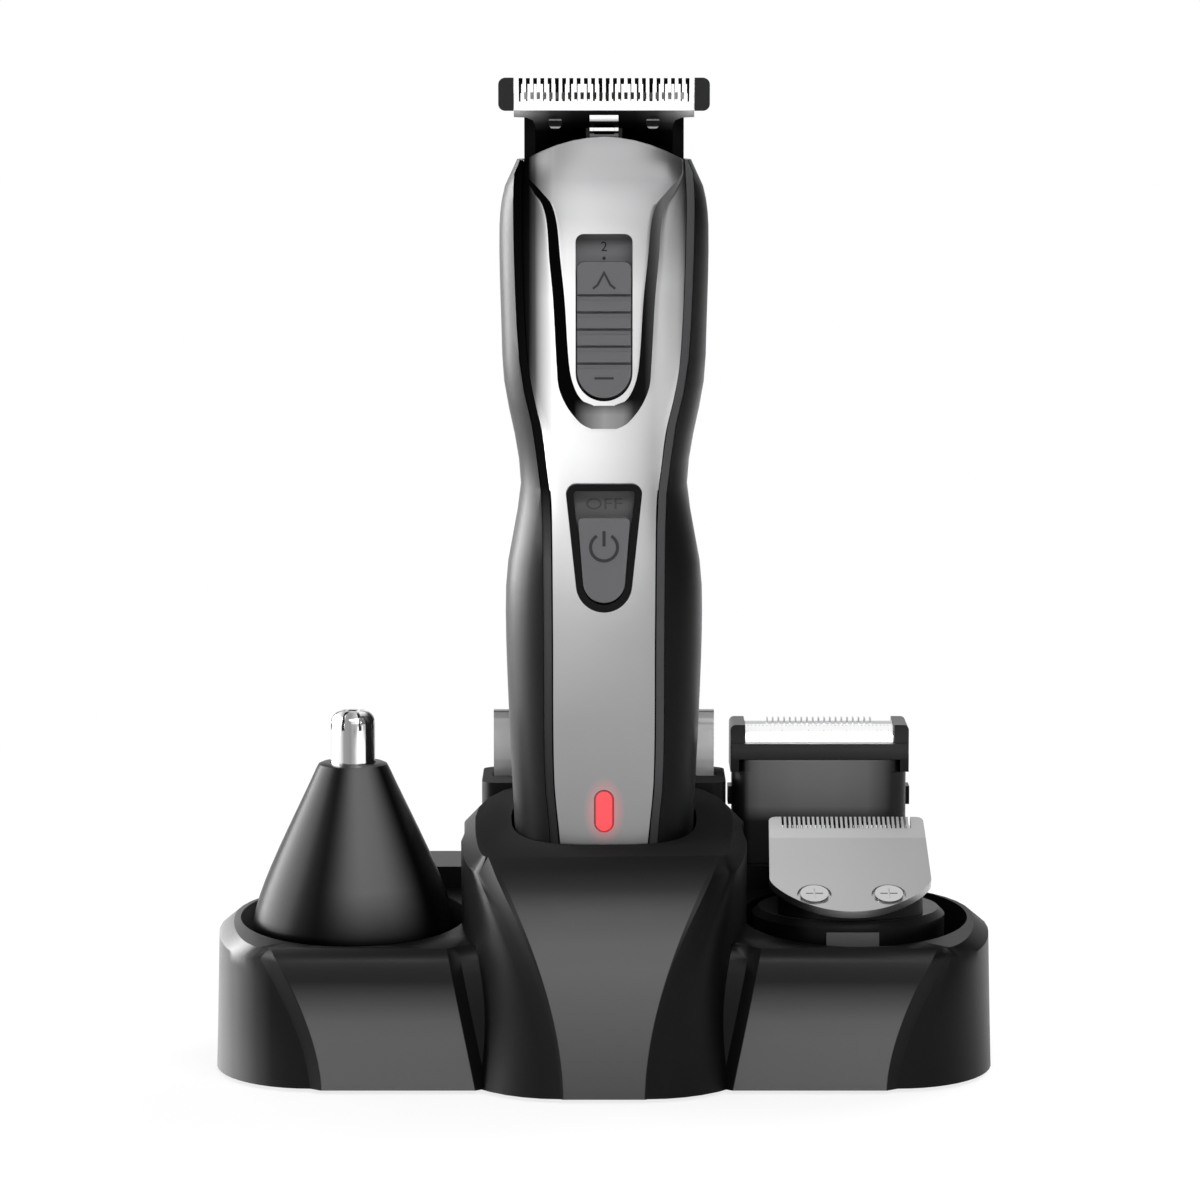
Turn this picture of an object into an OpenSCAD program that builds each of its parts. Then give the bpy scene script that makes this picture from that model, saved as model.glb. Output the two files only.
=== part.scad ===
// Cordless beard trimmer standing in its charging stand, with its spare heads and guide comb.
// Millimetres. X runs across the front, -Y faces the user and +Z is up.
// The origin is on the table, below the trimmer's own axis.

/* [Handle] */
// Length of the handle from its foot to its shoulders
handle_l = 150.5; // [146:0.5:156]
// Width across the shoulders
shoulder_w = 39.8; // [38:0.1:42]
// Width at the waist between the two grips
waist_w = 31.8; // [30:0.1:34]
// Width across the lower grip
grip_w = 37.7; // [36:0.1:39]
// Width just above the foot
foot_w = 32.4; // [31:0.1:33.6]
// Height of the waist above the foot
waist_z = 89; // [86:0.5:92]
// Distance from the handle's axis to its front face at the lower grip
grip_front = 16.2; // [15.6:0.1:17]
// Distance from the handle's axis to its back at the lower grip
grip_back = 16.8; // [16:0.1:18]
// Wall of the handle's shells
shell_wall = 2; // [1.6:0.1:2.2]
// Thickness of the metal-look front cover
cover_t = 1.8; // [1.5:0.1:2]
// Width of the dark band along each edge of the front cover
band_w = 1.5; // [1:0.1:2]
// Height of the raised tongue around the length slider
tongue_h = 1.2; // [0.6:0.1:1.6]
// Rise of the front cover's arched top above the shoulders
cover_rise = 4.5; // [3:0.1:6]

/* [Controls] */
// Width of the length slider's slot
slot_w = 10.7; // [10:0.1:11]
// Height of the length slider's slot
slot_l = 31.2; // [30:0.1:33]
// Height of the length slider's thumb piece
length_thumb_l = 25.5; // [24:0.1:27]
// Travel of the length slider
length_travel = 5; // [3:0.1:5.2]
// Number of grooves across the length slider
groove_count = 5; // [3:1:6]
// Width of the power switch's frame at its top
switch_w = 14.4; // [13:0.1:15]
// Height of the power switch's frame
switch_l = 24.4; // [23:0.1:26]
// Height of the power switch's thumb piece
power_thumb_l = 16; // [14:0.1:17]
// Travel of the power switch
power_travel = 4.2; // [2:0.1:4.4]
// Width of the charge light
light_w = 3.6; // [3:0.1:5]
// Height of the charge light
light_l = 8; // [6:0.1:9]

/* [Drive] */
// Radius of the motor's can
motor_r = 10; // [9:0.1:10.4]
// Length of the motor's can
motor_l = 27; // [24:0.5:28]
// Radius of the battery cell
cell_r = 7.1; // [6.5:0.05:7.2]
// Length of the battery cell
cell_l = 50; // [44:0.5:50]
// Throw of the crank pin
crank_throw = 1.2; // [0.8:0.1:1.4]
// Radius of the crank pin
crank_pin_r = 1; // [0.8:0.05:1.1]
// Distance from the lever's pivot to each of its ends
lever_arm = 8; // [7:0.1:8.5]

/* [T-blade head] */
// Half of the sideways stroke of each cutter
stroke = 1.2; // [0.8:0.1:1.4]
// Width of the fixed T-blade
t_blade_w = 34; // [32:0.1:35]
// Width of the fixed blade's stem
t_stem_w = 25.8; // [24:0.1:27]
// Thickness of each T-blade
t_blade_t = 1; // [0.8:0.1:1.2]
// Number of gaps between the fixed blade's teeth
t_fixed_gaps = 24; // [16:1:26]
// Number of gaps between the moving blade's teeth
t_moving_gaps = 26; // [18:1:28]
// Width over the two end guards
guard_w = 39.8; // [38:0.1:42]

/* [Stand] */
// Width of the stand
stand_w = 150; // [146:0.5:156]
// Height of the dock's floor, on which the trimmer stands
dock_z = 25; // [24:0.5:28]
// Height of the column's lip in front of the trimmer
lip_z = 46; // [44:0.5:48]
// Slope of the column's top, as rise over run
top_slope = 0.18; // [0.1:0.01:0.22]
// Half of the column's width
column_hw = 27.6; // [26.5:0.1:28.5]
// Distance from the axis to the column's front face at its foot
column_front = 34; // [32:0.5:36]
// Distance from the axis to the wings' front faces
wing_front = 26; // [25:0.5:27]
// Sideways distance from the axis to each well's centre
well_x = 48.4; // [47.5:0.1:49]
// Radius of each well
well_r = 21.8; // [21.2:0.1:22.2]
// Height of the wings' rims in front
rim_z = 27.8; // [26:0.1:28.5]
// Height of the rear rack that carries the foil head
rack_z = 36; // [34:0.5:38]
// Width of the chamfer round the stand's top edges
top_chamfer = 2.8; // [2:0.1:3.2]
// Distance from the axis to the stand's back face
stand_back = 38.5; // [38:0.5:42]
// Wall of the stand's shell
stand_wall = 2.5; // [2:0.1:3]

/* [Nose head] */
// Radius of the nose head's foot
nose_foot_r = 19.35; // [18.5:0.05:20]
// Radius of the nose head's shoulder
nose_top_r = 7; // [6.5:0.1:8]
// Height of the nose head's cone
nose_cone_h = 33; // [30:0.5:36]
// Radius of the slotted guard tube
nose_tube_r = 4.3; // [4:0.05:5]
// Height of the guard tube above the cone
nose_tube_h = 10; // [8:0.5:12]
// Number of slots in the guard tube
nose_slots = 8; // [6:1:10]

/* [Wide-blade head] */
// Width of the wide blade
wide_w = 31; // [28:0.1:32]
// Length of the wide blade along its slope
wide_l = 32.6; // [29:0.1:33]
// Slope of the wide blade above the horizontal, in degrees
wide_tilt = 25; // [22:1:28]
// Thickness of the wide blade
wide_t = 1.6; // [1.2:0.1:1.8]
// Number of gaps between the wide blade's teeth
wide_gaps = 28; // [20:1:30]

/* [Foil head] */
// Gap between the comb's pocket and the foil head
foil_gap = 1; // [0.8:0.1:1.4]
// Width of the foil head over its posts
foil_w = 35.2; // [34:0.1:36]
// Height of the foil head above the rack
foil_h = 27.6; // [27:0.1:29]
// Depth of the foil head
foil_d = 14; // [13:0.1:15]
// Number of fins on the foil head's cutter
fin_count = 13; // [9:1:15]
// Travel of each release button
button_travel = 0.8; // [0.5:0.1:1]

/* [Comb] */
// Width of the guide comb
comb_w = 43.6; // [42:0.1:44.5]
// Height of the guide comb
comb_h = 24; // [22:0.5:26]
// Number of ribs on the guide comb
comb_ribs = 9; // [7:1:11]

/* [Fits] */
// Gap round a piece that is dropped or clipped into its seat
fit = 0.1; // [0.08:0.01:0.15]
// Gap round a piece that slides or lifts out
slide_fit = 0.3; // [0.25:0.05:0.4]
// Gap between a shaft and its bore
run_fit = 0.06; // [0.05:0.01:0.08]

/* [Hidden] */
$fn = 48;
eps = 0.01;
reach = 60;

// Handle profiles, as [height above the foot, value]
grip_z = 62;
shoulder_z = handle_l - 12.5;
// Height at a share of the way from the waist up to the shoulders
function upper(k) = waist_z + k * (shoulder_z - waist_z);
width_line = [
    [0, foot_w / 2 - 1.7], [2, foot_w / 2], [20, foot_w / 2 + 0.9], [45, grip_w / 2 - 0.55],
    [grip_z, grip_w / 2], [grip_z + 10, grip_w / 2 - 0.25], [waist_z - 9, waist_w / 2 + 1.35],
    [waist_z, waist_w / 2], [upper(0.18), waist_w / 2 + 1.1], [upper(0.39), shoulder_w / 2 - 0.85],
    [upper(0.63), shoulder_w / 2 - 0.3], [shoulder_z, shoulder_w / 2], [shoulder_z + 7, shoulder_w / 2 - 0.9],
    [shoulder_z + 11, shoulder_w / 2 - 2.7], [handle_l, shoulder_w / 2 - 3.35], [handle_l + 6, shoulder_w / 2 - 3.6]
];
front_line = [
    [0, grip_front - 3.6], [2, grip_front - 2], [20, grip_front - 0.8], [grip_z, grip_front],
    [waist_z, grip_front - 1], [upper(0.735), grip_front - 1], [shoulder_z, grip_front - 1.3],
    [handle_l, grip_front - 3.2], [handle_l + 6, grip_front - 3.8]
];
back_line = [
    [0, grip_back - 4.4], [2, grip_back - 2.8], [20, grip_back - 1.4], [grip_z, grip_back],
    [waist_z, grip_back - 2.2], [upper(0.39), grip_back - 1.4], [upper(0.84), grip_back - 1.6],
    [shoulder_z + 5, grip_back - 3.6], [handle_l, grip_back - 5.4], [handle_l + 6, grip_back - 6.2]
];
// Half width of the front cover up the handle
cover_line = [
    [0, 7.6], [20, 8.35], [34, 9.55], [grip_z, 9.75], [waist_z - 9, 9.9], [waist_z - 2, 10.1],
    [upper(0.08), 10.8], [upper(0.22), 11.7], [upper(0.35), 13.2], [upper(0.47), 14.2],
    [upper(0.735), 15], [shoulder_z + 5, 15.4], [handle_l, 15.1], [handle_l + 6, 15.1]
];
slot_top = handle_l - 13.7;
slot_bottom = slot_top - slot_l;
// Half width of the tongue's flat top, and of the foot of its bevel
tongue_low = slot_bottom - 0.9;
bevel_low = tongue_low - 4.5;
tongue_line = [
    [tongue_low, 0.3], [tongue_low + 0.9, 3.75], [tongue_low + 3.3, 5.5], [tongue_low + 7.3, 6.5],
    [tongue_low + 20, 7.4], [shoulder_z - 5.7, 8.2], [shoulder_z + 1.2, 8.9], [shoulder_z + 4.9, 10],
    [shoulder_z + 7.4, 11.7], [handle_l, 14.5], [handle_l + 6, 14.6]
];
bevel_line = [
    [bevel_low, 0.6], [bevel_low + 1.3, 4.2], [bevel_low + 4.3, 7], [tongue_low + 3.3, 8.5],
    [tongue_low + 7.3, 8.9], [tongue_low + 20, 9.6], [shoulder_z - 5.7, 10.3], [shoulder_z + 1.2, 10.8],
    [shoulder_z + 4.9, 11.8], [shoulder_z + 7.4, 13.2], [handle_l, 14.8], [handle_l + 6, 14.8]
];
front_power = 3;
back_power = 2.4;

// Levels inside the handle, above its foot
deck_z = handle_l - 15.5;
deck_t = 3;
neck_hw = 15.1;
neck_front = 6.5;
neck_back = 7;
length_thumb_z = slot_bottom + 0.7;
switch_top = waist_z + 1;
switch_bottom = switch_top - switch_l;
power_thumb_z = switch_bottom + 1.9;
light_z = 27.6;
plate_y = 12.7;
board_front = 12.5;
board_t = 1.6;
cell_y = 1;
cell_z = 18;
shaft_r = 1;
crank_z = deck_z - 12;
crank_t = 4;
motor_z = crank_z - 9 - motor_l;
crank_pin_top = deck_z + 5;
spine_front = 10.2;
spine_t = 1.4;
tab_t = 0.4;
chassis_screws_z = [12.5, (cell_z + cell_l + motor_z) / 2];
chassis_head_r = 2;
chassis_head_h = 1.3;
chassis_shank_l = 4;
block_w = 8;
block_d = 2.1;
block_l = 10;
block_z = max(power_thumb_z + 3, cell_z + cell_l + fit + tab_t + slide_fit);
contact_x = 5;

// T-blade head, heights above the deck that it stands on
head_z = dock_z + deck_z;
neck_h = 24.5;
blade_y = neck_front + fit;
cutter_y = blade_y + t_blade_t + fit;
pivot_z = 11.5;
nose_z = pivot_z + lever_arm;
fork_z = pivot_z - lever_arm;
stem_z = 15.9;
bar_z = 24.2;
fixed_root = 26.5;
fixed_tip = 30.9;
moving_low = 24.7;
moving_root = 26.6;
moving_tip = 28.1;
window_hw = 6;
blade_screw_x = 9.2;
blade_screw_z = 22.6;
guard_in = t_blade_w / 2 + 0.05;
guard_low = bar_z + 0.6;
moving_hw = guard_in - stroke - 0.15;

// Stand
skirt_z = 0.8;
base_t = 1.8;
wing_ceiling = 12;
well_floor = 15;
dock_gap = 0.6;
wing_end_r = 18;
wing_back = 22.5;
panel_bevel = 2.1;
panel_slope = 0.8;
comb_rack_wall = 2.2;
foil_x = comb_w / 2 + comb_rack_wall + foil_gap + foil_w / 2;
wide_shift = 1.2;
rack_front = 19;
comb_y = 27;
comb_t = 1.8;
comb_d = 8.6;
comb_z = 42;
comb_rack_z = 53;
foil_y = 29.5;
peg_r = 5;
peg_h = 8;
socket_r = 3.9;
socket_z = 9;
boss_at = [[-36, -15], [36, -15], [-50, 27], [50, 27]];
foot_at = [[0, 0], [-58, -6], [58, -6], [-30, 29], [30, 29]];

// Smooth line through [position, value] stations, level beyond its ends
function station_slope(s, i) =
    i == 0 || i == len(s) - 1 ? 0 : (s[i + 1][1] - s[i - 1][1]) / (s[i + 1][0] - s[i - 1][0]);
function span_at(s, z, i = 0) = i >= len(s) - 2 || z <= s[i + 1][0] ? i : span_at(s, z, i + 1);
function hermite(s, z, i, h, t) =
    s[i][1] * (2 * t ^ 3 - 3 * t ^ 2 + 1) + station_slope(s, i) * h * (t ^ 3 - 2 * t ^ 2 + t)
    + s[i + 1][1] * (3 * t ^ 2 - 2 * t ^ 3) + station_slope(s, i + 1) * h * (t ^ 3 - t ^ 2);
function line_at(s, z) =
    z <= s[0][0] ? s[0][1] : z >= s[len(s) - 1][0] ? s[len(s) - 1][1]
    : let (i = span_at(s, z), h = s[i + 1][0] - s[i][0]) hermite(s, z, i, h, (z - s[i][0]) / h);
// Numbers in rising order, without those closer than a gap
function rising(v) = len(v) < 2 ? v : let (m = v[floor(len(v) / 2)])
    concat(rising([for (x = v) if (x < m) x]), [m], rising([for (x = v) if (x > m) x]));
function thinned(v, gap) = [for (i = [0:len(v) - 1]) if (i == 0 || v[i] - v[max(0, i - 1)] > gap) v[i]];
function steps(from, to, count) = [for (i = [0:count]) from + (to - from) * i / count];
function ramp(a, b, v) = min(1, max(0, (v - a) / (b - a)));
function bezier(p, t) =
    p[0] * (1 - t) ^ 3 + 3 * p[1] * t * (1 - t) ^ 2 + 3 * p[2] * t ^ 2 * (1 - t) + p[3] * t ^ 3;

// Point of the handle's section at an angle, grown outwards by g
function signed_power(v, n) = sign(v) * abs(v) ^ (2 / n);
function handle_point(a, z, g) =
    let (n = sin(a) < 0 ? front_power : back_power, d = line_at(sin(a) < 0 ? front_line : back_line, z) + g)
    [(line_at(width_line, z) + g) * signed_power(cos(a), n), d * signed_power(sin(a), n), z];
function handle_ring(z, g, sides) = [for (i = [0:sides - 1]) handle_point(360 * i / sides, z, g)];
// Depth of the handle's front surface in front of its axis
function front_depth(x, z) =
    line_at(front_line, z) * (1 - min(1, abs(x) / line_at(width_line, z)) ^ front_power) ^ (1 / front_power);

// Solid through rings of equal count, each closed on itself; a folded ring's ends are closed in strips
module skin(rings, folded = false) {
    n = len(rings[0]);
    last = len(rings) - 1;
    top = last * n;
    sides = [for (r = [0:last - 1], i = [0:n - 1]) let (a = r * n + i, b = r * n + (i + 1) % n)
        each [[a, a + n, b], [b, a + n, b + n]]];
    caps = [[for (i = [0:n - 1]) i], [for (i = [n - 1:-1:0]) top + i]];
    strips = [for (i = [0:n / 2 - 2]) let (j = n - 1 - i) each [
        [i, i + 1, j], [i + 1, j - 1, j], [top + i + 1, top + i, top + j], [top + j - 1, top + i + 1, top + j]]];
    polyhedron([for (r = rings) each r], concat(sides, folded ? strips : caps), convexity = 8);
}

// Plate stood upright: a drawing in X and Z, given depth from y0 to y1
module upright(y0, y1) {
    translate([0, y1, 0]) rotate([90, 0, 0]) linear_extrude(y1 - y0) children();
}

module box(low, high) {
    translate(low) cube(high - low);
}

module rounded(hw, y0, y1, r) {
    hull() for (x = [-hw + r, hw - r], y = [y0 + r, y1 - r]) translate([x, y]) circle(r, $fn = 32);
}

module in_handle() {
    translate([0, 0, dock_z]) children();
}

module in_head() {
    translate([0, 0, head_z]) children();
}

module screw(head_r, head_h, shank_r, shank_l) {
    difference() {
        cylinder(r = head_r, h = head_h);
        for (a = [0, 90]) rotate(a)
            translate([-head_r * 0.6, -head_h * 0.2, head_h * 0.5]) cube([head_r * 1.2, head_h * 0.4, head_h]);
    }
    translate([0, 0, -shank_l]) cylinder(r = shank_r, h = shank_l);
}

// Handle

handle_rows = thinned(rising(concat([0, 0.7, 2, 5], steps(10, shoulder_z, 26), steps(shoulder_z, handle_l, 5))), 0.3);
cavity_rows = steps(shell_wall, deck_z - deck_t, 14);
opening_rows = thinned(rising(concat([1], steps(6, deck_z - deck_t, 20), [deck_z - deck_t + 0.5, deck_z - 1],
    steps(deck_z, handle_l, 6), [handle_l + 1])), 0.3);

// Inner and outer edge of the dark band beside the front cover
function band_inner(z) = line_at(cover_line, z) + fit + 0.06;
function band_outer(z) = min(band_inner(z) + band_w, line_at(width_line, z) - 0.7);

// Slice of the space in front of a depth below the handle's surface, out to the bands
module front_slab(rows, depth, columns = 9) {
    skin([for (z = rows)
        let (hw = band_outer(z) + fit, d = depth + 0.7 * (1 - ramp(deck_z - deck_t + 0.5, deck_z - 1, z))
             + 0.5 * ramp(deck_z - 1, handle_l - 4, z))
        concat([for (i = [-columns:columns]) [hw * sin(90 * i / columns), -reach, z]],
            [for (i = [columns:-1:-columns]) let (x = hw * sin(90 * i / columns)) [x, d - front_depth(x, z), z]])], true);
}

module rear_shell() {
    color("#17181a") in_handle() difference() {
        union() {
            difference() {
                skin([for (z = handle_rows) handle_ring(z, 0, 44)]);
                skin([for (z = cavity_rows) handle_ring(z, -shell_wall, 28)]);
                front_slab(opening_rows, cover_t + slide_fit);
            }
            for (z = chassis_screws_z) translate([0, spine_front + spine_t + fit, z]) rotate([-90, 0, 0])
                cylinder(r = 2.6, h = line_at(back_line, z) - spine_front - spine_t - 1);
        }
        translate([0, 0, deck_z]) linear_extrude(reach) neck_outline(slide_fit);
        box([-slot_w / 2 - 1.5, -reach, deck_z - deck_t - 1], [slot_w / 2 + 1.5, -plate_y + 2 + slide_fit, slot_top + 1.5]);
        translate([-6.5, -4.6, deck_z - deck_t - 1]) cube([13, 9.2, reach]);
        for (z = chassis_screws_z) translate([0, spine_front, z]) rotate([-90, 0, 0])
            cylinder(r = 1, h = chassis_shank_l + 0.3);
        for (x = [-contact_x, contact_x]) translate([x, 0, -1]) cylinder(r = 2 + fit / 2, h = 5);
    }
}

cover_rows = thinned(rising(concat([1.2], steps(6, bevel_low - 4, 16), steps(bevel_low - 2, tongue_low, 7),
    [for (d = [0.3, 0.7, 1.2, 1.9, 2.8, 4, 5.6, 7.6]) tongue_low + d], steps(tongue_low + 11, shoulder_z, 7),
    steps(shoulder_z + 1.5, handle_l + cover_rise, 10))), 0.2);

// Columns across the front cover: they follow the tongue's edge and the foot of its bevel
function cover_edge(z) = line_at(cover_line, z - cover_rise * ramp(shoulder_z + 4, handle_l + cover_rise, z));
function cover_half(z) =
    let (s = cover_edge(z), k = ramp(bevel_low - 10, bevel_low, z), c = ramp(bevel_low, tongue_low, z),
         b = line_at(bevel_line, z), t0 = b - c * (b - line_at(tongue_line, z)),
         t = (1 - k) * s * 0.4 + k * t0, o = min(s - 0.3, max(t + 0.05, (1 - k) * s * 0.6 + k * b)))
    [0, t * 0.35, t * 0.7, t, o, o + (s - o) * 0.3, o + (s - o) * 0.6, o + (s - o) * 0.85, s];
cover_columns = 8;
// Raise of the tongue at a column, which falls away over the bevel's foot
function tongue_raise(i, z) = i <= 3 ? tongue_h * ramp(bevel_low, tongue_low, z) : 0;
function cover_drop(x, z) = cover_rise * (x / cover_edge(z)) ^ 2 * ramp(shoulder_z + 4, handle_l + cover_rise, z);
function cover_point(i, z, depth) =
    let (h = cover_half(z), x = sign(i) * h[abs(i)], low = z - cover_drop(x, z))
    [x, depth - front_depth(x, low) - (depth == 0 ? tongue_raise(abs(i), z) : 0), low];

module front_cover() {
    color("#b9babc") in_handle() difference() {
        skin([for (z = cover_rows) concat(
            [for (i = [-cover_columns:cover_columns]) cover_point(i, z, 0)],
            [for (i = [cover_columns:-1:-cover_columns]) cover_point(i, z, cover_t)])], true);
        upright(-reach, 0) slot_outline(0);
        upright(-reach, 0) switch_outline(0);
        upright(-reach, 0) light_outline(fit);
    }
}

module slot_outline(g) {
    r = slot_w / 2 + g;
    translate([0, slot_bottom + slot_w / 2]) circle(r);
    translate([-r, slot_bottom + slot_w / 2]) square([2 * r, slot_l - slot_w / 2 - 1.5 + g]);
    translate([-r + 1.5, slot_bottom + slot_w / 2]) square([2 * r - 3, slot_l - slot_w / 2 + g]);
    for (s = [-1, 1]) translate([s * (r - 1.5), slot_top - 1.5 + g]) circle(1.5);
}

// Shield outline: a top of half width a, and a round foot of radius r
module shield(top, bottom, a, r, corner) {
    hull() {
        translate([0, bottom + r]) circle(r, $fn = 32);
        for (s = [-1, 1]) translate([s * (a - corner), top - corner]) circle(corner, $fn = 32);
    }
}

module switch_outline(g) {
    shield(switch_top + g, switch_bottom - g, switch_w / 2 + g, switch_w * 0.37 + g, 2 + g);
}

module light_outline(g) {
    hull() for (s = [-1, 1])
        translate([0, light_z + s * (light_l - light_w) / 2]) circle(light_w / 2 + g, $fn = 32);
}

// Strip along one edge of the front cover, set a little below it
module side_bands() {
    rows = [for (z = opening_rows) if (z <= handle_l) z];
    color("#4a4b4d") in_handle() for (s = [-1, 1]) skin([for (z = rows)
        let (a = band_inner(z), b = band_outer(z), m = (a + b) / 2,
             ring = [[a, 0.3], [m, 0.3], [b, 0.3], [b, 1.8], [m, 1.8], [a, 1.8]],
             turn = s > 0 ? ring : [for (i = [5:-1:0]) ring[i]])
        [for (p = turn) [s * p[0], p[1] - front_depth(p[0], z), z]]], true);
}

// Grey plate behind the slot, with a narrow slot for the slider's stem
module slot_plate() {
    stem_z = length_thumb_z + length_thumb_l / 2;
    color("#5c5d5f") in_handle() upright(-plate_y, -plate_y + 1) difference() {
        translate([-slot_w / 2 - 1.2, slot_bottom - 1.2]) square([slot_w + 2.4, slot_l + 2.4]);
        translate([-1.6, stem_z - 3]) square([3.2, 6 + length_travel]);
    }
}

module length_thumb() {
    pitch = (length_thumb_l - 12.7) / (groove_count - 1);
    face = line_at(front_line, length_thumb_z) + tongue_h + 0.8;
    hw = slot_w / 2 - slide_fit;
    color("#66676a") in_handle() {
        difference() {
            upright(-face, -plate_y - fit) {
                translate([0, length_thumb_z + hw]) circle(hw);
                translate([-hw, length_thumb_z + hw]) square([2 * hw, length_thumb_l - hw - 1.4]);
                translate([-hw + 1.4, length_thumb_z + hw]) square([2 * hw - 2.8, length_thumb_l - hw]);
                for (s = [-1, 1]) translate([s * (hw - 1.4), length_thumb_z + length_thumb_l - 1.4]) circle(1.4);
            }
            for (i = [0:groove_count - 1]) translate([-reach, -face - 1, length_thumb_z + 6.2 + pitch * i])
                cube([2 * reach, 1.6, 0.5]);
        }
        box([-1.3, -plate_y - fit - eps, length_thumb_z + length_thumb_l / 2 - 2.7],
            [1.3, -plate_y + 1 + fit, length_thumb_z + length_thumb_l / 2 + 2.7]);
    }
}

// Plate behind the slot that the slider's stem drives, with its spring finger
module length_carriage() {
    z = length_thumb_z + length_thumb_l / 2;
    color("#d8d8d4") in_handle() upright(-plate_y + 1 + fit, -plate_y + 2) difference() {
        translate([-4.5, z - 8]) square([9, 16]);
        for (s = [-1, 1]) translate([s * 3 - 0.4, z - 6]) square([0.8, 12]);
    }
}

// Frame of the power switch, with the floor that its thumb slides on
module switch_frame() {
    face = line_at(front_line, waist_z) + 0.7;
    floor_y = plate_y + 0.8;
    color("#141415") in_handle() difference() {
        upright(-face, -floor_y + 0.8) switch_outline(-fit);
        upright(-face - 1, -floor_y) switch_outline(-1.4);
        upright(-face - 1, 0) translate([-1.5, power_thumb_z + power_thumb_l / 2 - 2.4])
            square([3, 4.8 + power_travel]);
    }
}

module power_thumb() {
    face = line_at(front_line, waist_z) + 1.1;
    floor_y = plate_y + 0.8;
    hw = switch_w / 2 - 2.35;
    color("#5e5f61") in_handle() {
        upright(-face, -floor_y - fit)
            shield(power_thumb_z + power_thumb_l, power_thumb_z, hw, hw * 0.82, 0.8);
        box([-1.2, -floor_y - fit - eps, power_thumb_z + power_thumb_l / 2 - 2],
            [1.2, -board_front - 0.2, power_thumb_z + power_thumb_l / 2 + 2]);
    }
}

module light_lens() {
    face = front_depth(0, light_z) + 0.15;
    color("#ff4a4a") in_handle() upright(-face, -board_front - fit) light_outline(0);
}

module main_board() {
    color("#1f5a37") in_handle() box([-8, -board_front, 15], [8, -board_front + board_t, waist_z - 7]);
}

// Slide switch on the back of the board
module switch_block() {
    y = -board_front + board_t;
    color("#c9c9c6") in_handle() box([-block_w / 2, y, block_z], [block_w / 2, y + block_d, block_z + block_l]);
}

module battery() {
    color("#2f6fb0") in_handle() translate([0, cell_y, cell_z]) {
        cylinder(r = cell_r, h = cell_l - 1.2);
        translate([0, 0, cell_l - 1.2 - eps]) cylinder(r = 2.8, h = 1.2 + eps);
    }
}

// Nickel strips from the cell's two ends to the board
module battery_tabs() {
    y = -board_front + board_t + fit;
    color("#c8c6bd") in_handle() for (z = [cell_z - fit - tab_t, cell_z + cell_l + fit])
        box([-2.5, y, z], [2.5, cell_y + 3, z + tab_t]);
}

module motor() {
    color("#a9abad") in_handle() translate([0, 0, motor_z]) difference() {
        union() {
            intersection() {
                cylinder(r = motor_r, h = motor_l);
                box([-reach, -motor_r + 1.4, -1], [reach, motor_r - 1.4, motor_l + 1]);
            }
            cylinder(r = 3, h = motor_l + 1.5);
        }
        translate([0, 0, motor_l - 6]) cylinder(r = shaft_r + run_fit, h = reach);
    }
}

// Inner frame: a trough for the cell, a cup and a top plate for the motor, all on one spine
module chassis() {
    rail_front = board_front - board_t - fit;
    cup_r = motor_r + fit + 1.2;
    cup_front = plate_y - 2 - slide_fit;
    low = cell_z - 1.5;
    high = cell_z + cell_l + 2;
    rail = 1.2;
    rail_x = cell_r + fit;
    color("#2b2c2e") in_handle() difference() {
        union() {
            box([-5, spine_front, chassis_screws_z[0] - 4], [5, spine_front + spine_t, motor_z + motor_l + 2]);
            for (s = [-1, 1]) translate([s * (rail_x + rail / 2), 0, 0])
                box([-rail / 2, -rail_front, low], [rail / 2, spine_front + eps, high]);
            box([-rail_x - rail / 2, spine_front - 1.6, low], [rail_x + rail / 2, spine_front + eps, high]);
            intersection() {
                union() {
                    translate([0, 0, motor_z - 2]) cylinder(r = cup_r, h = 6);
                    translate([0, 0, motor_z + motor_l + fit]) cylinder(r = cup_r, h = 1.9);
                }
                box([-reach, -cup_front, 0], [reach, reach, handle_l]);
            }
        }
        translate([0, 0, motor_z]) cylinder(r = motor_r + fit, h = motor_l);
        translate([0, 0, motor_z - 3]) cylinder(r = 3.5, h = reach);
        box([-block_w / 2 - fit, -board_front, block_z - fit],
            [block_w / 2 + fit, -board_front + board_t + block_d + fit, block_z + block_l + fit]);
        for (z = chassis_screws_z) translate([0, 0, z]) rotate([-90, 0, 0]) {
            cylinder(r = 1 + fit, h = reach);
            cylinder(r = chassis_head_r + fit, h = spine_front);
        }
    }
}

module chassis_screws() {
    color("#8d8f92") in_handle() for (z = chassis_screws_z) translate([0, spine_front, z]) rotate([90, 0, 0])
        screw(chassis_head_r, chassis_head_h, 1, chassis_shank_l);
}

module charge_plates() {
    color("#d9b65c") in_handle() for (x = [-contact_x, contact_x]) translate([x, 0, 0]) {
        cylinder(r = 2, h = 1.2);
        translate([0, 0, 1.2 - eps]) cylinder(r = 1.2, h = 4);
    }
}

module motor_shaft() {
    foot = motor_z + motor_l - 5.5;
    color("#c4c6c8") in_handle() translate([0, 0, foot]) cylinder(r = shaft_r, h = crank_z + crank_t - 1 - foot);
}

// Disc on the motor's shaft with its offset pin, drawn at the middle of the stroke
module crank() {
    color("#e4e2da") in_handle() {
        translate([0, 0, crank_z]) difference() {
            cylinder(r = 3.6, h = crank_t);
            translate([0, 0, -1]) cylinder(r = shaft_r, h = crank_t);
        }
        translate([0, -crank_throw, crank_z + crank_t - eps])
            cylinder(r = crank_pin_r, h = crank_pin_top - crank_z - crank_t + eps);
    }
}

// T-blade head

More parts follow.
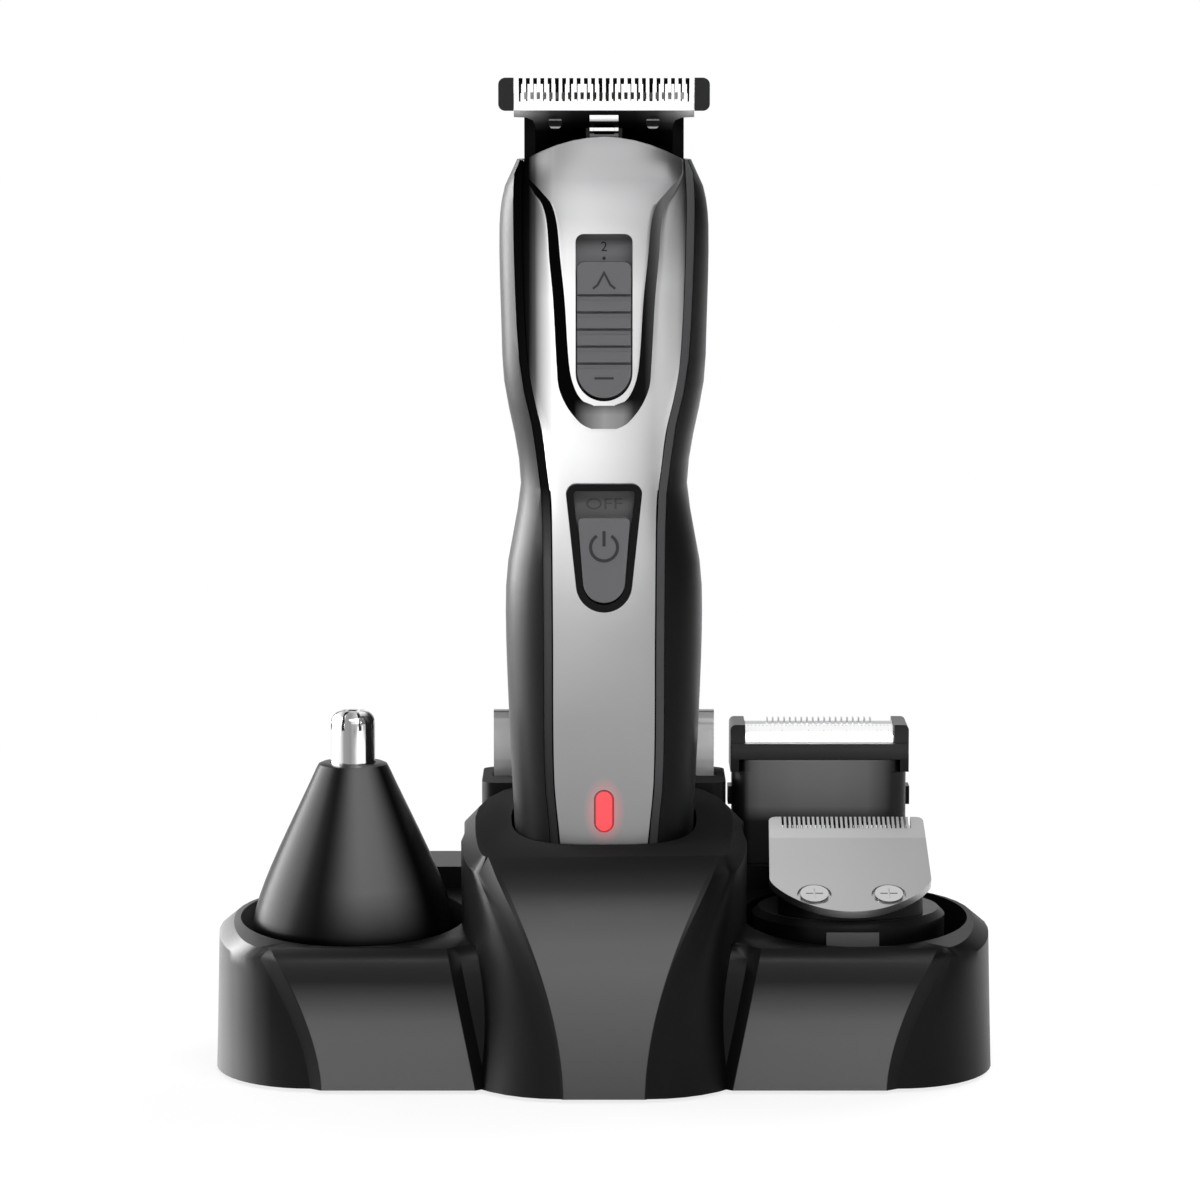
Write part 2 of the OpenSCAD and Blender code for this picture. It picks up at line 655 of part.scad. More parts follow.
// Section of the neck that plugs into the handle, grown by g
module neck_outline(g) {
    a = neck_hw + g;
    f = neck_front + g;
    b = neck_back + g;
    polygon([[2.1 - a, -f], [a - 2.1, -f], [a, -f + 3], [a, b - 6.5], [a - 4.1, b], [4.1 - a, b], [-a, b - 6.5],
        [-a, -f + 3]]);
}

module head_body() {
    cavity_hw = crank_throw + crank_pin_r + 2 * stroke + 1.8;
    color("#151617") in_head() difference() {
        union() {
            intersection() {
                translate([0, 0, fit]) linear_extrude(neck_h - fit) neck_outline(0);
                rotate([90, 0, 90]) translate([0, 0, -neck_hw]) linear_extrude(2 * neck_hw) polygon([
                    [-neck_front, 0], [neck_back, 0], [neck_back, 16], [-1, neck_h], [-neck_front, neck_h]]);
            }
            box([-guard_w / 2 + 0.3, -neck_front, guard_low + 0.3], [guard_w / 2 - 0.3, -neck_front + 2.2, neck_h + 3.6]);
            box([-t_stem_w / 2, -neck_front, neck_h - 0.4], [t_stem_w / 2, -neck_front + 2.2, guard_low + 0.4]);
            box([0.3 - t_blade_w / 2, -neck_front, neck_h + 3.5], [t_blade_w / 2 - 0.3, -neck_front + 0.9, fixed_tip - 0.5]);
        }
        box([-cavity_hw, -4.6, -1], [cavity_hw, 4.6, 17]);
        box([-cavity_hw, -neck_front - 1, 16], [cavity_hw, 1.5, 21.6]);
        translate([0, -neck_front + 0.4, pivot_z]) rotate([-90, 0, 0]) cylinder(r = 1.5, h = reach / 4);
        for (s = [-1, 1]) translate([s * blade_screw_x, -neck_front - 1, blade_screw_z]) rotate([-90, 0, 0])
            cylinder(r = 0.85, h = 4.2);
    }
}

// Saw-tooth edge from right to left: gaps of half width g, evenly spread over a half width
function tooth_edge(hw, gaps, root, tip, g) = [for (i = [0:gaps - 1])
    let (x = hw * (1 - (2 * i + 1) / gaps))
    each [[x + g * 1.15, tip], [x + g, root], [x - g, root], [x - g * 1.15, tip]]];

module fixed_blade() {
    a = t_stem_w / 2;
    b = t_blade_w / 2;
    color("#c9cbcd") in_head() upright(-blade_y - t_blade_t, -blade_y) difference() {
        polygon(concat([[-a, stem_z], [a, stem_z], [a, bar_z - 2.4], [a + 0.5, bar_z - 1.2], [a + 1.7, bar_z - 0.7], [b, bar_z - 0.6],
            [b, fixed_tip]], tooth_edge(b - 0.6, t_fixed_gaps, fixed_root, fixed_tip, 0.33),
            [[-b, fixed_tip], [-b, bar_z - 0.6], [-a - 1.7, bar_z - 0.7], [-a - 0.5, bar_z - 1.2], [-a, bar_z - 2.4]]));
        translate([-window_hw, 16.8]) square([2 * window_hw, 4.9]);
        for (s = [-1, 1]) translate([s * blade_screw_x, blade_screw_z]) circle(0.95);
    }
}

module moving_blade() {
    a = 2.2;
    color("#e3e5e7") in_head() upright(-cutter_y - t_blade_t, -cutter_y)
        polygon(concat([[-a, 17.4], [a, 17.4], [a, moving_low], [moving_hw, moving_low], [moving_hw, moving_tip]],
            tooth_edge(moving_hw - 0.4, t_moving_gaps, moving_root, moving_tip, 0.3),
            [[-moving_hw, moving_tip], [-moving_hw, moving_low], [-a, moving_low]]));
}

// Block behind the moving blade, with the slot that the lever's nose drives
module blade_yoke() {
    color("#e4e2da") in_head() difference() {
        box([-3.4, -cutter_y, nose_z - 2], [3.4, 0.9, nose_z + 2]);
        box([-1.35, -2.4, nose_z - 3], [1.35, 2, nose_z + 3]);
    }
}

// Rocking lever: a wide fork round the crank pin below its pivot, a round nose in the yoke above
module drive_lever() {
    fork_hw = crank_throw + crank_pin_r + stroke + slide_fit;
    color("#f0eee6") in_head() difference() {
        union() {
            translate([0, 2.2, pivot_z]) rotate([90, 0, 0]) cylinder(r = 3, h = 4.4);
            translate([-0.85, -2.2, pivot_z]) cube([1.7, 4.4 - 2, lever_arm]);
            translate([0, 0.2, nose_z]) rotate([90, 0, 0]) cylinder(r = 1.2, h = 2.4);
            box([-fork_hw - 1.1, -2.2, pivot_z - 4], [fork_hw + 1.1, 2.2, pivot_z - 2]);
            for (s = [-1, 1]) translate([s * (fork_hw + 0.55), 0, 0])
                box([-0.55, -2.2, fork_z - 1.5], [0.55, 2.2, pivot_z - 2]);
        }
        translate([0, 3, pivot_z]) rotate([90, 0, 0]) cylinder(r = 1.5 + run_fit, h = 6);
    }
}

module lever_pin() {
    color("#c4c6c8") in_head() translate([0, -neck_front + 0.4, pivot_z]) rotate([-90, 0, 0])
        cylinder(r = 1.5, h = neck_front + neck_back - 1.4);
}

module end_guards() {
    r = 1.3;
    low = guard_low;
    high = fixed_tip + 0.1;
    wide = guard_w / 2 - guard_in;
    color("#1b1c1d") in_head() for (s = [-1, 1]) upright(-cutter_y - t_blade_t - 0.5, -neck_front) {
        translate([s > 0 ? guard_in : -guard_w / 2, low + r]) square([wide, high - low - 2 * r]);
        translate([s > 0 ? guard_in : -guard_w / 2 + r, low]) square([wide - r, high - low]);
        for (z = [low + r, high - r]) translate([s * (guard_w / 2 - r), z]) circle(r);
    }
}

module blade_screws() {
    color("#8d8f92") in_head() for (s = [-1, 1])
        translate([s * blade_screw_x, -blade_y - t_blade_t, blade_screw_z]) rotate([90, 0, 0])
            screw(1.3, 0.7, 0.85, 4.2);
}

// Leaf spring that presses the moving blade on the fixed one
module blade_spring() {
    face = cutter_y + t_blade_t + fit;
    color("#e8eaec") in_head() {
        upright(-face - 0.4, -face) difference() {
            translate([-2.7, 16]) square([5.4, 8]);
            translate([-1.9, 20.4]) square([3.8, 2]);
        }
        box([-2.7, -face - eps, 16], [2.7, -blade_y - t_blade_t, 16.5]);
    }
}

// Nose head

nose_z0 = rim_z - 1.1;
nose_top = nose_z0 + nose_cone_h;
cone_line = [[nose_foot_r, nose_z0 + 2.2], [nose_foot_r - 0.8, nose_z0 + 9], [nose_top_r + 4, nose_top - 10],
    [nose_top_r, nose_top - 1]];

module at_nose() {
    translate([-well_x, 0, 0]) children();
}

module nose_cone() {
    outer = [for (t = [0:0.1:1]) bezier(cone_line, t)];
    inner = [for (t = [1:-0.1:0]) bezier(cone_line, t) - [2, 1.5 * t]];
    color("#121314") at_nose() rotate_extrude($fn = 96) polygon(concat(
        [[nose_foot_r - 2, nose_z0], [nose_foot_r - 0.5, nose_z0], [nose_foot_r, nose_z0 + 0.8]], outer,
        [[nose_top_r - 0.4, nose_top - 0.3], [nose_top_r - 1.1, nose_top], [nose_tube_r + fit, nose_top],
         [nose_tube_r + fit, nose_top - 2.5]], inner));
}

// Floor of the nose head, with its bearing and the collar that stands in the well
module nose_base() {
    r = nose_foot_r - 2 - fit;
    color("#1d1e20") at_nose() rotate_extrude($fn = 96) polygon([
        [shaft_r + run_fit, well_floor + 1.5], [5, well_floor + 1.5], [5, nose_z0 - 2], [12.5, nose_z0 - 2],
        [12.5, well_floor + fit], [14.5, well_floor + fit], [14.5, nose_z0 - 1], [r, nose_z0], [r, nose_z0 + 2],
        [5, nose_z0 + 2], [5, nose_z0 + 7], [shaft_r + run_fit, nose_z0 + 7]]);
}

module nose_guard() {
    top = nose_top + nose_tube_h;
    foot = nose_top - 4;
    dome = 2.2;
    r = nose_tube_r;
    color("#dfe1e3") at_nose() difference() {
        rotate_extrude($fn = 72) polygon(concat(
            [[r - 0.5, foot], [r + 0.5, foot], [r + 0.5, nose_top - 2.5 - fit], [r, nose_top - 2.5 - fit], [r, top - dome]],
            [for (a = [15:15:75]) [r - dome + dome * cos(a), top - dome + dome * sin(a)]],
            [[r - dome, top], [0.9, top], [0.9, top - 0.5], [r - dome, top - 0.5]],
            [for (a = [75:-15:15]) [r - dome + (dome - 0.5) * cos(a), top - dome + (dome - 0.5) * sin(a)]],
            [[r - 0.5, top - dome]]));
        for (i = [0:nose_slots - 1]) rotate(360 * (i + 0.5) / nose_slots)
            translate([r - dome - 0.6, -0.28, top - 3.4]) cube([dome + 1.2, 0.56, 4]);
    }
}

module nose_cutter() {
    top = nose_top + nose_tube_h;
    foot = nose_top - 3;
    color("#b9bcbf") at_nose() difference() {
        union() {
            translate([0, 0, foot]) cylinder(r = 2.2, h = 4);
            for (a = [0, 120, 240]) rotate(a)
                translate([0, -0.3, foot + 2]) cube([nose_tube_r - 0.5 - slide_fit - 0.4, 0.6, top - 3 - foot - 2]);
            translate([0, 0, foot + 2]) cylinder(r = 1.7, h = top - 2.4 - foot - 2);
        }
        translate([0, 0, foot - 1]) cylinder(r = shaft_r, h = 5);
    }
}

// Shaft of the nose cutter, with the dog that the handle's crank pin turns
module nose_shaft() {
    color("#c4c6c8") at_nose() {
        translate([0, 0, well_floor + 1]) cylinder(r = shaft_r, h = nose_top + 1 - well_floor - 1);
        translate([0, 0, nose_z0 + 7 + run_fit]) cylinder(r = 2.4, h = 2);
    }
}

// Wide-blade head

wide_low_y = -18.2;
wide_low_z = rim_z + 4.6;

module at_wide() {
    translate([well_x - wide_shift, 0, 0]) children();
}

// Frame of the sloping blade: X across, Y up the slope, Z out of its face
module on_slope() {
    translate([0, wide_low_y, wide_low_z]) rotate([wide_tilt, 0, 0]) children();
}

// Blade outline: straight top edge with round corners, sides that spread a little, wide bowed foot
wide_screw_x = 7.1;
wide_screw_y = 5.6;
wide_head_r = 2.7;
wide_head_h = 0.8;
wide_sink = 0.5;
module wide_outline(inset) {
    hw = wide_w / 2 - inset;
    foot = 11 - inset * 0.5;
    corner = 1.4;
    top = hw - 0.45;
    polygon(concat([for (a = [90:-30:0]) [-(top - corner) - corner * cos(a), wide_l - corner + corner * sin(a)]],
        [for (i = [-16:16]) let (u = sin(90 * i / 16))
            [hw * u, inset + (foot - inset) * (0.5 * (1 - sqrt(1 - u ^ 2)) + 0.5 * u ^ 2)]],
        [for (a = [0:30:90]) [top - corner + corner * cos(a), wide_l - corner + corner * sin(a)]]));
}

module wide_blade() {
    gap = (wide_w - 5.4) / wide_gaps;
    color("#c3c5c7") at_wide() on_slope() difference() {
        linear_extrude(wide_t) difference() {
            wide_outline(0);
            for (i = [0:wide_gaps - 1]) translate([gap * (i - (wide_gaps - 1) / 2) - gap * 0.24, wide_l - 4.4])
                square([gap * 0.48, 6]);
            for (s = [-1, 1]) translate([s * wide_screw_x, wide_screw_y]) circle(1.4);
        }
        // Ground bevel along the teeth and sinks for the screws
        translate([0, wide_l - 6, wide_t]) rotate([-4, 0, 0]) box([-reach, 0, 0], [reach, reach, 2]);
        for (s = [-1, 1]) translate([s * wide_screw_x, wide_screw_y, wide_t - wide_sink])
            cylinder(r = wide_head_r + 0.6, h = 2);
    }
}

module wide_screws() {
    color("#d5d7d9") at_wide() on_slope() for (s = [-1, 1])
        translate([s * wide_screw_x, wide_screw_y, wide_t - wide_sink]) screw(wide_head_r, wide_head_h, 1.3, 5);
}

// Body: a collar that stands in the well and a wedge under the blade
module wide_body() {
    collar_r = 18.6;
    color("#111213") at_wide() difference() {
        union() {
            rotate_extrude($fn = 96) polygon([[12.5, well_floor + fit], [14.5, well_floor + fit], [14.5, rim_z - 2.5],
                [collar_r - 0.6, rim_z - 2.5], [collar_r, rim_z - 1.6], [collar_r, rim_z + 2.6], [collar_r - 1.2, rim_z + 3.8],
                [12.5, rim_z + 3.8]]);
            intersection() {
                translate([0, wide_low_y, rim_z - 2]) linear_extrude(24) difference() {
                    scale([1, cos(wide_tilt)]) wide_outline(1.6);
                    translate([-10.5, 7.2]) square([21, 19.9]);
                }
                on_slope() box([-reach, -reach, -reach], [reach, reach, -fit]);
            }
            translate([-5, -collar_r - 0.35, rim_z - 1.2]) cube([10, 2, 3.2]);
        }
        on_slope() {
            for (s = [-1, 1]) translate([s * wide_screw_x, wide_screw_y, -6]) cylinder(r = 1.3, h = 8);
            box([-wide_w / 2 - 1, 16.5, -2.6], [wide_w / 2 + 1, wide_l + 2, 0]);
        }
    }
}

// Moving blade under the wide blade's teeth
module wide_cutter() {
    hw = wide_w / 2 - 2.6;
    gap = (2 * hw - 2) / wide_gaps;
    color("#d9dbdd") at_wide() on_slope() translate([0, 0, -fit - 1]) linear_extrude(1) difference() {
        translate([-hw, 18]) square([2 * hw, wide_l - 1 - 18]);
        for (i = [0:wide_gaps - 1]) translate([gap * (i - (wide_gaps - 1) / 2) - gap * 0.24, wide_l - 4.4])
            square([gap * 0.48, 6]);
    }
}

module wide_follower() {
    color("#e4e2da") at_wide() on_slope() difference() {
        box([-4, 19, -8], [4, 24.5, -fit - 1]);
        box([-1.3, 17, -9], [1.3, 22.5, -3]);
    }
}

// Foil head

foil_z = rack_z + fit;
foil_top = rack_z + foil_h;
foil_hw = foil_w / 2;
foil_deck = foil_z + 20.6;
foil_sill = 3.2;
foil_post = 2.9;
foil_leg = 1.7;
foil_leg_z = foil_deck - 2.4;
foil_axis = foil_deck + foil_sill + 0.02;
foil_arch = foil_top - 0.1 - foil_axis;
button_z = rack_z + 13;

module at_foil() {
    translate([foil_x, foil_y, 0]) children();
}

module foil_body() {
    hw = foil_hw - 0.4;
    neck = foil_hw - foil_leg - fit;
    color("#1a1b1c") at_foil() difference() {
        union() {
            translate([0, 0, foil_z]) linear_extrude(foil_leg_z - fit - foil_z) rounded(hw, -foil_d / 2, foil_d / 2, 3.5);
            translate([0, 0, foil_leg_z - fit - eps]) linear_extrude(foil_deck - foil_leg_z + fit + eps)
                rounded(neck, -foil_d / 2, foil_d / 2, 2.6);
        }
        translate([0, 0, foil_z - 1]) cylinder(r = peg_r + slide_fit, h = peg_h + 1.6);
        for (s = [-1, 1]) translate([s * (foil_hw - 1.9), 0, button_z])
            cube([2 * button_travel + 3.2, 5 + 2 * slide_fit, 3.6 + 2 * slide_fit], center = true);
        box([-3, -2.5, foil_deck - 6], [3, 2.5, foil_deck + 1]);
    }
}

// Cassette frame: two end posts with legs, on a sill that clips over the body
module foil_frame() {
    post_in = foil_hw - foil_post;
    r = 1;
    color("#161718") at_foil() difference() {
        union() {
            for (s = [-1, 1]) {
                upright(-foil_d / 2 + 0.6, foil_d / 2 - 0.6) {
                    translate([s > 0 ? post_in : -foil_hw, foil_deck + fit])
                        square([foil_post, foil_top - foil_deck - fit - r]);
                    translate([s > 0 ? post_in : -foil_hw + r, foil_deck + fit])
                        square([foil_post - r, foil_top - foil_deck - fit]);
                    translate([s * (foil_hw - r), foil_top - r]) circle(r);
                }
                translate([s > 0 ? foil_hw - foil_leg : -foil_hw, -foil_d / 2 + 0.3, foil_leg_z])
                    cube([foil_leg, foil_d - 0.6, foil_deck - foil_leg_z + fit + 1]);
            }
            box([-foil_hw + 0.2, -foil_d / 2, foil_deck + fit], [foil_hw - 0.2, foil_d / 2, foil_deck + foil_sill]);
        }
        box([-post_in + 0.4, -foil_d / 2 + 1.8, foil_deck - 1], [post_in - 0.4, foil_d / 2 - 1.8, foil_top]);
    }
}

// Thin arched foil between the posts
module foil_sheet() {
    hw = foil_hw - foil_post - fit;
    t = 0.3;
    ry = foil_d / 2 - 2.1;
    color("#d7d9db") at_foil() rotate([90, 0, 90]) translate([0, 0, -hw]) linear_extrude(2 * hw) polygon(concat(
        [for (a = [0:10:180]) [ry * cos(a), foil_axis + foil_arch * sin(a)]],
        [for (a = [180:-10:0]) [(ry - t) * cos(a), foil_axis - 0.01 + (foil_arch - t) * sin(a)]]));
}

// Cutter block: half-round fins on a rib, with the foot that the drive moves
module foil_cutter() {
    hw = foil_hw - foil_post - fit - stroke - slide_fit;
    ry = foil_d / 2 - 2.1 - 0.3 - slide_fit;
    pitch = (2 * hw - 0.5) / (fin_count - 1);
    color("#b4b7ba") at_foil() {
        for (i = [0:fin_count - 1]) translate([-hw + pitch * i, 0, 0]) rotate([90, 0, 90]) linear_extrude(0.5)
            polygon([for (a = [0:15:180]) [ry * cos(a), foil_axis + 0.1 + (foil_arch - 0.3 - slide_fit - 0.1) * sin(a)]]);
        box([-hw, -1.2, foil_axis - 0.4], [hw, 1.2, foil_axis + 2.4]);
        box([-1.5, -1.2, foil_deck - 4], [1.5, 1.2, foil_axis]);
    }
}

module foil_button(s) {
    color("#2a2b2d") at_foil() translate([s * (foil_hw - 0.55), 0, button_z])
        cube([1.9, 5, 3.6], center = true);
}

// Guide comb

module guide_comb() {
    hw = comb_w / 2;
    top = comb_z + comb_h;
    pitch = (comb_w - 10) / (comb_ribs - 1);
    color("#8b8f94", 0.55) translate([0, comb_y, 0]) {
        for (s = [-1, 1]) {
            translate([s > 0 ? hw - 5 : -hw, 0, comb_z]) cube([5, comb_t, comb_h]);
            translate([s > 0 ? hw - 1.6 : -hw, 0, comb_z]) cube([1.6, comb_d, comb_h - 4]);
        }
        box([-hw, -0.4, top - 2.4], [hw, comb_t, top]);
        box([-hw, 0, comb_z], [hw, comb_t, comb_z + 4]);
        for (i = [0:comb_ribs - 1]) translate([-hw + 5 + pitch * i - 0.6, 0, 0])
            rotate([90, 0, 90]) linear_extrude(1.2) polygon([[0.2, comb_z + 2], [comb_t + 1.6, comb_z + 2],
                [comb_t + 2.6, top - 9], [comb_t + 1.4, top - 1], [comb_t - 0.2, top - 0.2], [0.2, top - 0.2]]);
    }
}

// Stand

// The front faces lean back towards their tops along a quarter ellipse
function lean(z, from, to, depth) = let (k = ramp(from, to, z)) depth * (1 - sqrt(1 - 0.98 * k ^ 2));

panel_foot = 7.7;
panel_top = 21.8;
panel_edge_z = lip_z - top_chamfer;
function column_panel(z) = panel_foot + (panel_top - panel_foot) * (max(0, z) / lip_z) ^ 1.9;
function column_side(z) = column_hw + 3.4 * (1 - ramp(0, 25, z)) ^ 2;
// The bevel beside the column's panel spreads from a line at its foot to the chamfer at its top
function column_bevel(z) = z > panel_edge_z + eps ? 0.3 : 0.5 + (top_chamfer - 0.1) * (max(0, z) / panel_edge_z) ^ 1.4;

// Half outline of the column from its front panel round to its back
function column_half(z, inset) =
    let (f = -column_front + lean(z, 17, lip_z + 1, 15.5), x = column_panel(z), w = column_side(z) - inset,
         e = column_bevel(z), x1 = min(x + e, w - 0.3), f1 = f + e * panel_slope)
    concat([[x, f]], [for (a = [0:9:90]) [x1 + (w - x1) * sin(a), f1 * cos(a)]],
        [for (a = [15:15:75]) [w * cos(a) ^ 0.7, (rack_front + 3) * sin(a)]]);
function tilt(p, z, k) = [p[0], p[1], z + k * (p[1] + 17) * top_slope];
function column_ring(z, inset, k) = let (h = column_half(z, inset)) [for (p = concat(
    [for (p = h) p], [[0, rack_front + 3 - inset]], [for (i = [len(h) - 1:-1:0]) [-h[i][0], h[i][1]]])) tilt(p, z, k)];

function lowered(ring, d) = [for (p = ring) [p[0], p[1], p[2] - d]];

module column() {
    skin(concat([lowered(column_ring(skirt_z, 0, 0), 2)],
        [for (z = concat([skirt_z], steps(5, panel_edge_z, 13))) column_ring(z, 0, ramp(15, panel_edge_z, z) ^ 1.5)],
        [column_ring(lip_z, top_chamfer, 1)]));
}

// Outline of a wing: a flat front panel between two bevels, a round end and a straight back
function wing_panel_in(z) = 24.3 + 5.4 * ramp(skirt_z, rim_z, z);
function wing_panel_out(z) = stand_w / 2 - 21.5 + 9.6 * ramp(skirt_z, rim_z, z) ^ 1.7;
wing_edge_z = rim_z - top_chamfer + 0.4;
function wing_bevel(z) = z > wing_edge_z + eps ? 0.3 : panel_bevel * (1 + 0.7 * ramp(skirt_z, rim_z, z));
function wing_half(z, inset) =
    let (f = -wing_front + lean(z, 13, rim_z + 1, 4.8), xi = wing_panel_in(z), xo = wing_panel_out(z),
         e = wing_bevel(z), w = stand_w / 2 - inset - 0.8 * ramp(skirt_z, rim_z, z), x1 = xo + e,
         f1 = f + e * panel_slope, b = wing_back - inset)
    concat([[12, f + panel_bevel * panel_slope + 1], [xi - panel_bevel, f + panel_bevel * panel_slope], [xi, f], [xo, f]],
        [for (a = [0:7.5:82.5]) [x1 + (w - x1) * sin(a), f1 * cos(a)]],
        [for (a = [0:10:90]) [well_x + 4 + (w - well_x - 4) * cos(a), b * sin(a)]], [[12, b]]);
function wing_ring(z, inset, k) = [for (p = wing_half(z, inset)) [p[0], p[1], z + k * (p[1] + 20) * 0.1]];

module wing() {
    skin(concat([lowered(wing_ring(skirt_z, 0, 0), 3)],
        [for (z = concat([skirt_z], steps(5, wing_edge_z, 9))) wing_ring(z, 0, ramp(7, wing_edge_z, z) ^ 1.5)],
        [wing_ring(rim_z, top_chamfer, 1)]));
}

module rack() {
    hw = foil_x + foil_hw + 1.2;
    translate([0, 0, -4]) linear_extrude(rack_z + 3) rounded(hw, rack_front, stand_back, 5);
    translate([0, 0, rack_z - 1.01]) linear_extrude(1.01) rounded(hw - 0.8, rack_front, stand_back - 0.8, 4.4);
    translate([foil_x, foil_y, rack_z - 1]) cylinder(r = peg_r, h = peg_h + 1);
    translate([0, 0, rack_z - 2]) linear_extrude(comb_rack_z - rack_z + 2)
        rounded(comb_w / 2 + comb_rack_wall, rack_front - 2, stand_back, 3);
}

module stand_cavity(g) {
    rounded(stand_w / 2 - 4 + g, -wing_front + 6 - g, wing_back - 4 + g, 18);
    rounded(17 + g, -column_front + 9 - g, wing_back - 4 + g, 3);
    rounded(foil_x + foil_hw - 2 + g, 0, stand_back - stand_wall + g, 4);
}

module stand_shell() {
    color("#1c1d1f") difference() {
        union() {
            column();
            wing();
            mirror([1, 0, 0]) wing();
            rack();
        }
        // Wells and dock
        for (s = [-1, 1]) translate([s * well_x, 0, well_floor]) cylinder(r = well_r, h = reach, $fn = 72);
        translate([0, 0, dock_z - fit]) skin([for (z = [0, 2, 20, 45])
            [for (p = handle_ring(z, dock_gap, 36)) [p[0], p[1], z]]]);
        translate([0, comb_y, 0]) box([-comb_w / 2 - slide_fit, -0.4 - slide_fit, comb_z - fit],
            [comb_w / 2 + slide_fit, comb_d + slide_fit, reach + comb_z]);
        // Flat foot and hollow underside
        box([-stand_w, -stand_w, -9], [stand_w, stand_w, skirt_z]);
        translate([0, 0, -1]) linear_extrude(wing_ceiling + 1) stand_cavity(0);
        difference() {
            linear_extrude(dock_z - 3) rounded(17, -column_front + 9, wing_back - 4, 3);
            for (b = boss_at) translate([b[0], b[1], 0]) cylinder(r = 3.4, h = reach);
        }
        for (x = [-contact_x, contact_x]) translate([x, 0, 0]) cylinder(r = 1.6 + fit, h = reach);
        translate([0, stand_back - 12, socket_z]) rotate([-90, 0, 0]) cylinder(r = socket_r + fit, h = 20);
    }
    color("#1c1d1f") for (b = boss_at) translate([b[0], b[1], skirt_z + base_t + fit]) difference() {
        cylinder(r = 3.2, h = wing_ceiling - skirt_z - base_t);
        translate([0, 0, -1]) cylinder(r = 1.1, h = 9);
    }
}

module stand_base() {
    color("#161718") difference() {
        translate([0, 0, skirt_z]) linear_extrude(base_t) stand_cavity(-fit);
        for (b = boss_at) translate([b[0], b[1], 0]) {
            cylinder(r = 1.25, h = reach);
            cylinder(r = 2.7, h = skirt_z + 1);
        }
    }
}

module stand_feet() {
    color("#2c2c2c") for (p = foot_at) translate([p[0], p[1], 0]) {
        cylinder(r = 4.4, h = skirt_z);
    }
}

module stand_screws() {
    color("#8d8f92") for (b = boss_at) translate([b[0], b[1], skirt_z + 1]) rotate([180, 0, 0])
        screw(2.5, 0.9, 1.1, 7);
}

module stand_board() {
    color("#1f5a37") difference() {
        box([-13, -9, 13.4], [13, 9, 15]);
        for (s = [-1, 1]) translate([s * 10.4, 0, 0]) cylinder(r = 1.2, h = reach);
    }
}

// Sockets of the two charging contacts, which join the board to the dock's floor
module dock_barrels() {
    color("#c8a850") for (x = [-contact_x, contact_x]) translate([x, 0, 15]) difference() {
        cylinder(r = 1.6, h = dock_z - fit - 15.4);
        translate([0, 0, 0.6]) cylinder(r = 1.1 + run_fit, h = reach);
    }
}

module dock_plungers() {
    color("#e0c878") for (x = [-contact_x, contact_x]) translate([x, 0, 17]) cylinder(r = 1.1, h = dock_z - 17 - 0.05);
}

// Low-voltage inlet in the stand's back wall
module dc_socket() {
    color("#0f1011") translate([0, stand_back - 11, socket_z]) rotate([-90, 0, 0]) difference() {
        cylinder(r = socket_r, h = 11);
        translate([0, 0, 2]) difference() {
            cylinder(r = 2.9, h = 12);
            cylinder(r = 1, h = 8);
        }
    }
}

stand_shell();
stand_base();
stand_feet();
stand_screws();
stand_board();
dc_socket();
dock_barrels();
dock_plungers();
rear_shell();
front_cover();
side_bands();
slot_plate();
switch_frame();
light_lens();
battery();
battery_tabs();
motor();
chassis();
main_board();
switch_block();
charge_plates();
chassis_screws();
power_thumb();
length_thumb();
length_carriage();
motor_shaft();
crank();
head_body();
fixed_blade();
end_guards();
blade_screws();
blade_spring();
lever_pin();
drive_lever();
moving_blade();
blade_yoke();
nose_cone();
nose_base();
nose_guard();
nose_cutter();
nose_shaft();
wide_body();
wide_blade();
wide_screws();
wide_cutter();
wide_follower();
foil_body();
foil_frame();
foil_sheet();
foil_cutter();
foil_button(-1);  // foil_button_left
foil_button(1);  // foil_button_right
guide_comb();
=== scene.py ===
"""Looks for a beard trimmer that stands in its charging stand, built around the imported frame."""
import math

import bmesh
import bpy
import numpy as np
from bpy.props import FloatProperty, IntProperty, PointerProperty, StringProperty
from mathutils import Matrix, Vector


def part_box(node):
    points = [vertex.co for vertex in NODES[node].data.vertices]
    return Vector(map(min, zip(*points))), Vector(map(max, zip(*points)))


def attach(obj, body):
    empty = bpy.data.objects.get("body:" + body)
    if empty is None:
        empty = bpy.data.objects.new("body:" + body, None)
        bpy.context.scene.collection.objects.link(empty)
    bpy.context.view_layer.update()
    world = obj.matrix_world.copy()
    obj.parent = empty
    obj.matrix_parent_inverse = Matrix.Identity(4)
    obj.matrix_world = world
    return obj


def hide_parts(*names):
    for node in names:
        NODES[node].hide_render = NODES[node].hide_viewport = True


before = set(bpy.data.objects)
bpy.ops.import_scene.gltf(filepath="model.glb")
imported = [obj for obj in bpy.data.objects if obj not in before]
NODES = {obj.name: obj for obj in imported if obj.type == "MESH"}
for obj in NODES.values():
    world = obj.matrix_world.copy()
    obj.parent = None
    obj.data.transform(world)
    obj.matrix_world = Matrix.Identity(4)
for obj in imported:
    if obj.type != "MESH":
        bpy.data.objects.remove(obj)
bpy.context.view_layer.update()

bl_info = {
    "name": "Beard Trimmer Looks",
    "version": (1, 0, 0),
    "blender": (4, 5, 0),
    "location": "3D View > Sidebar > Trimmer",
    "description": "Finishes, marks and studio for a beard trimmer in its charging stand",
    "category": "Object",
}

MM = 0.001
SMOOTH_ANGLE = math.radians(32)
WELD = 2e-6
MATH = "ShaderNodeMath"
MIX = "ShaderNodeMix"
RANGE = "ShaderNodeMapRange"
VECTOR = "ShaderNodeVectorMath"
AXES = "ShaderNodeSeparateXYZ"
COORD = "ShaderNodeTexCoord"
RGBA = {"data_type": "RGBA"}

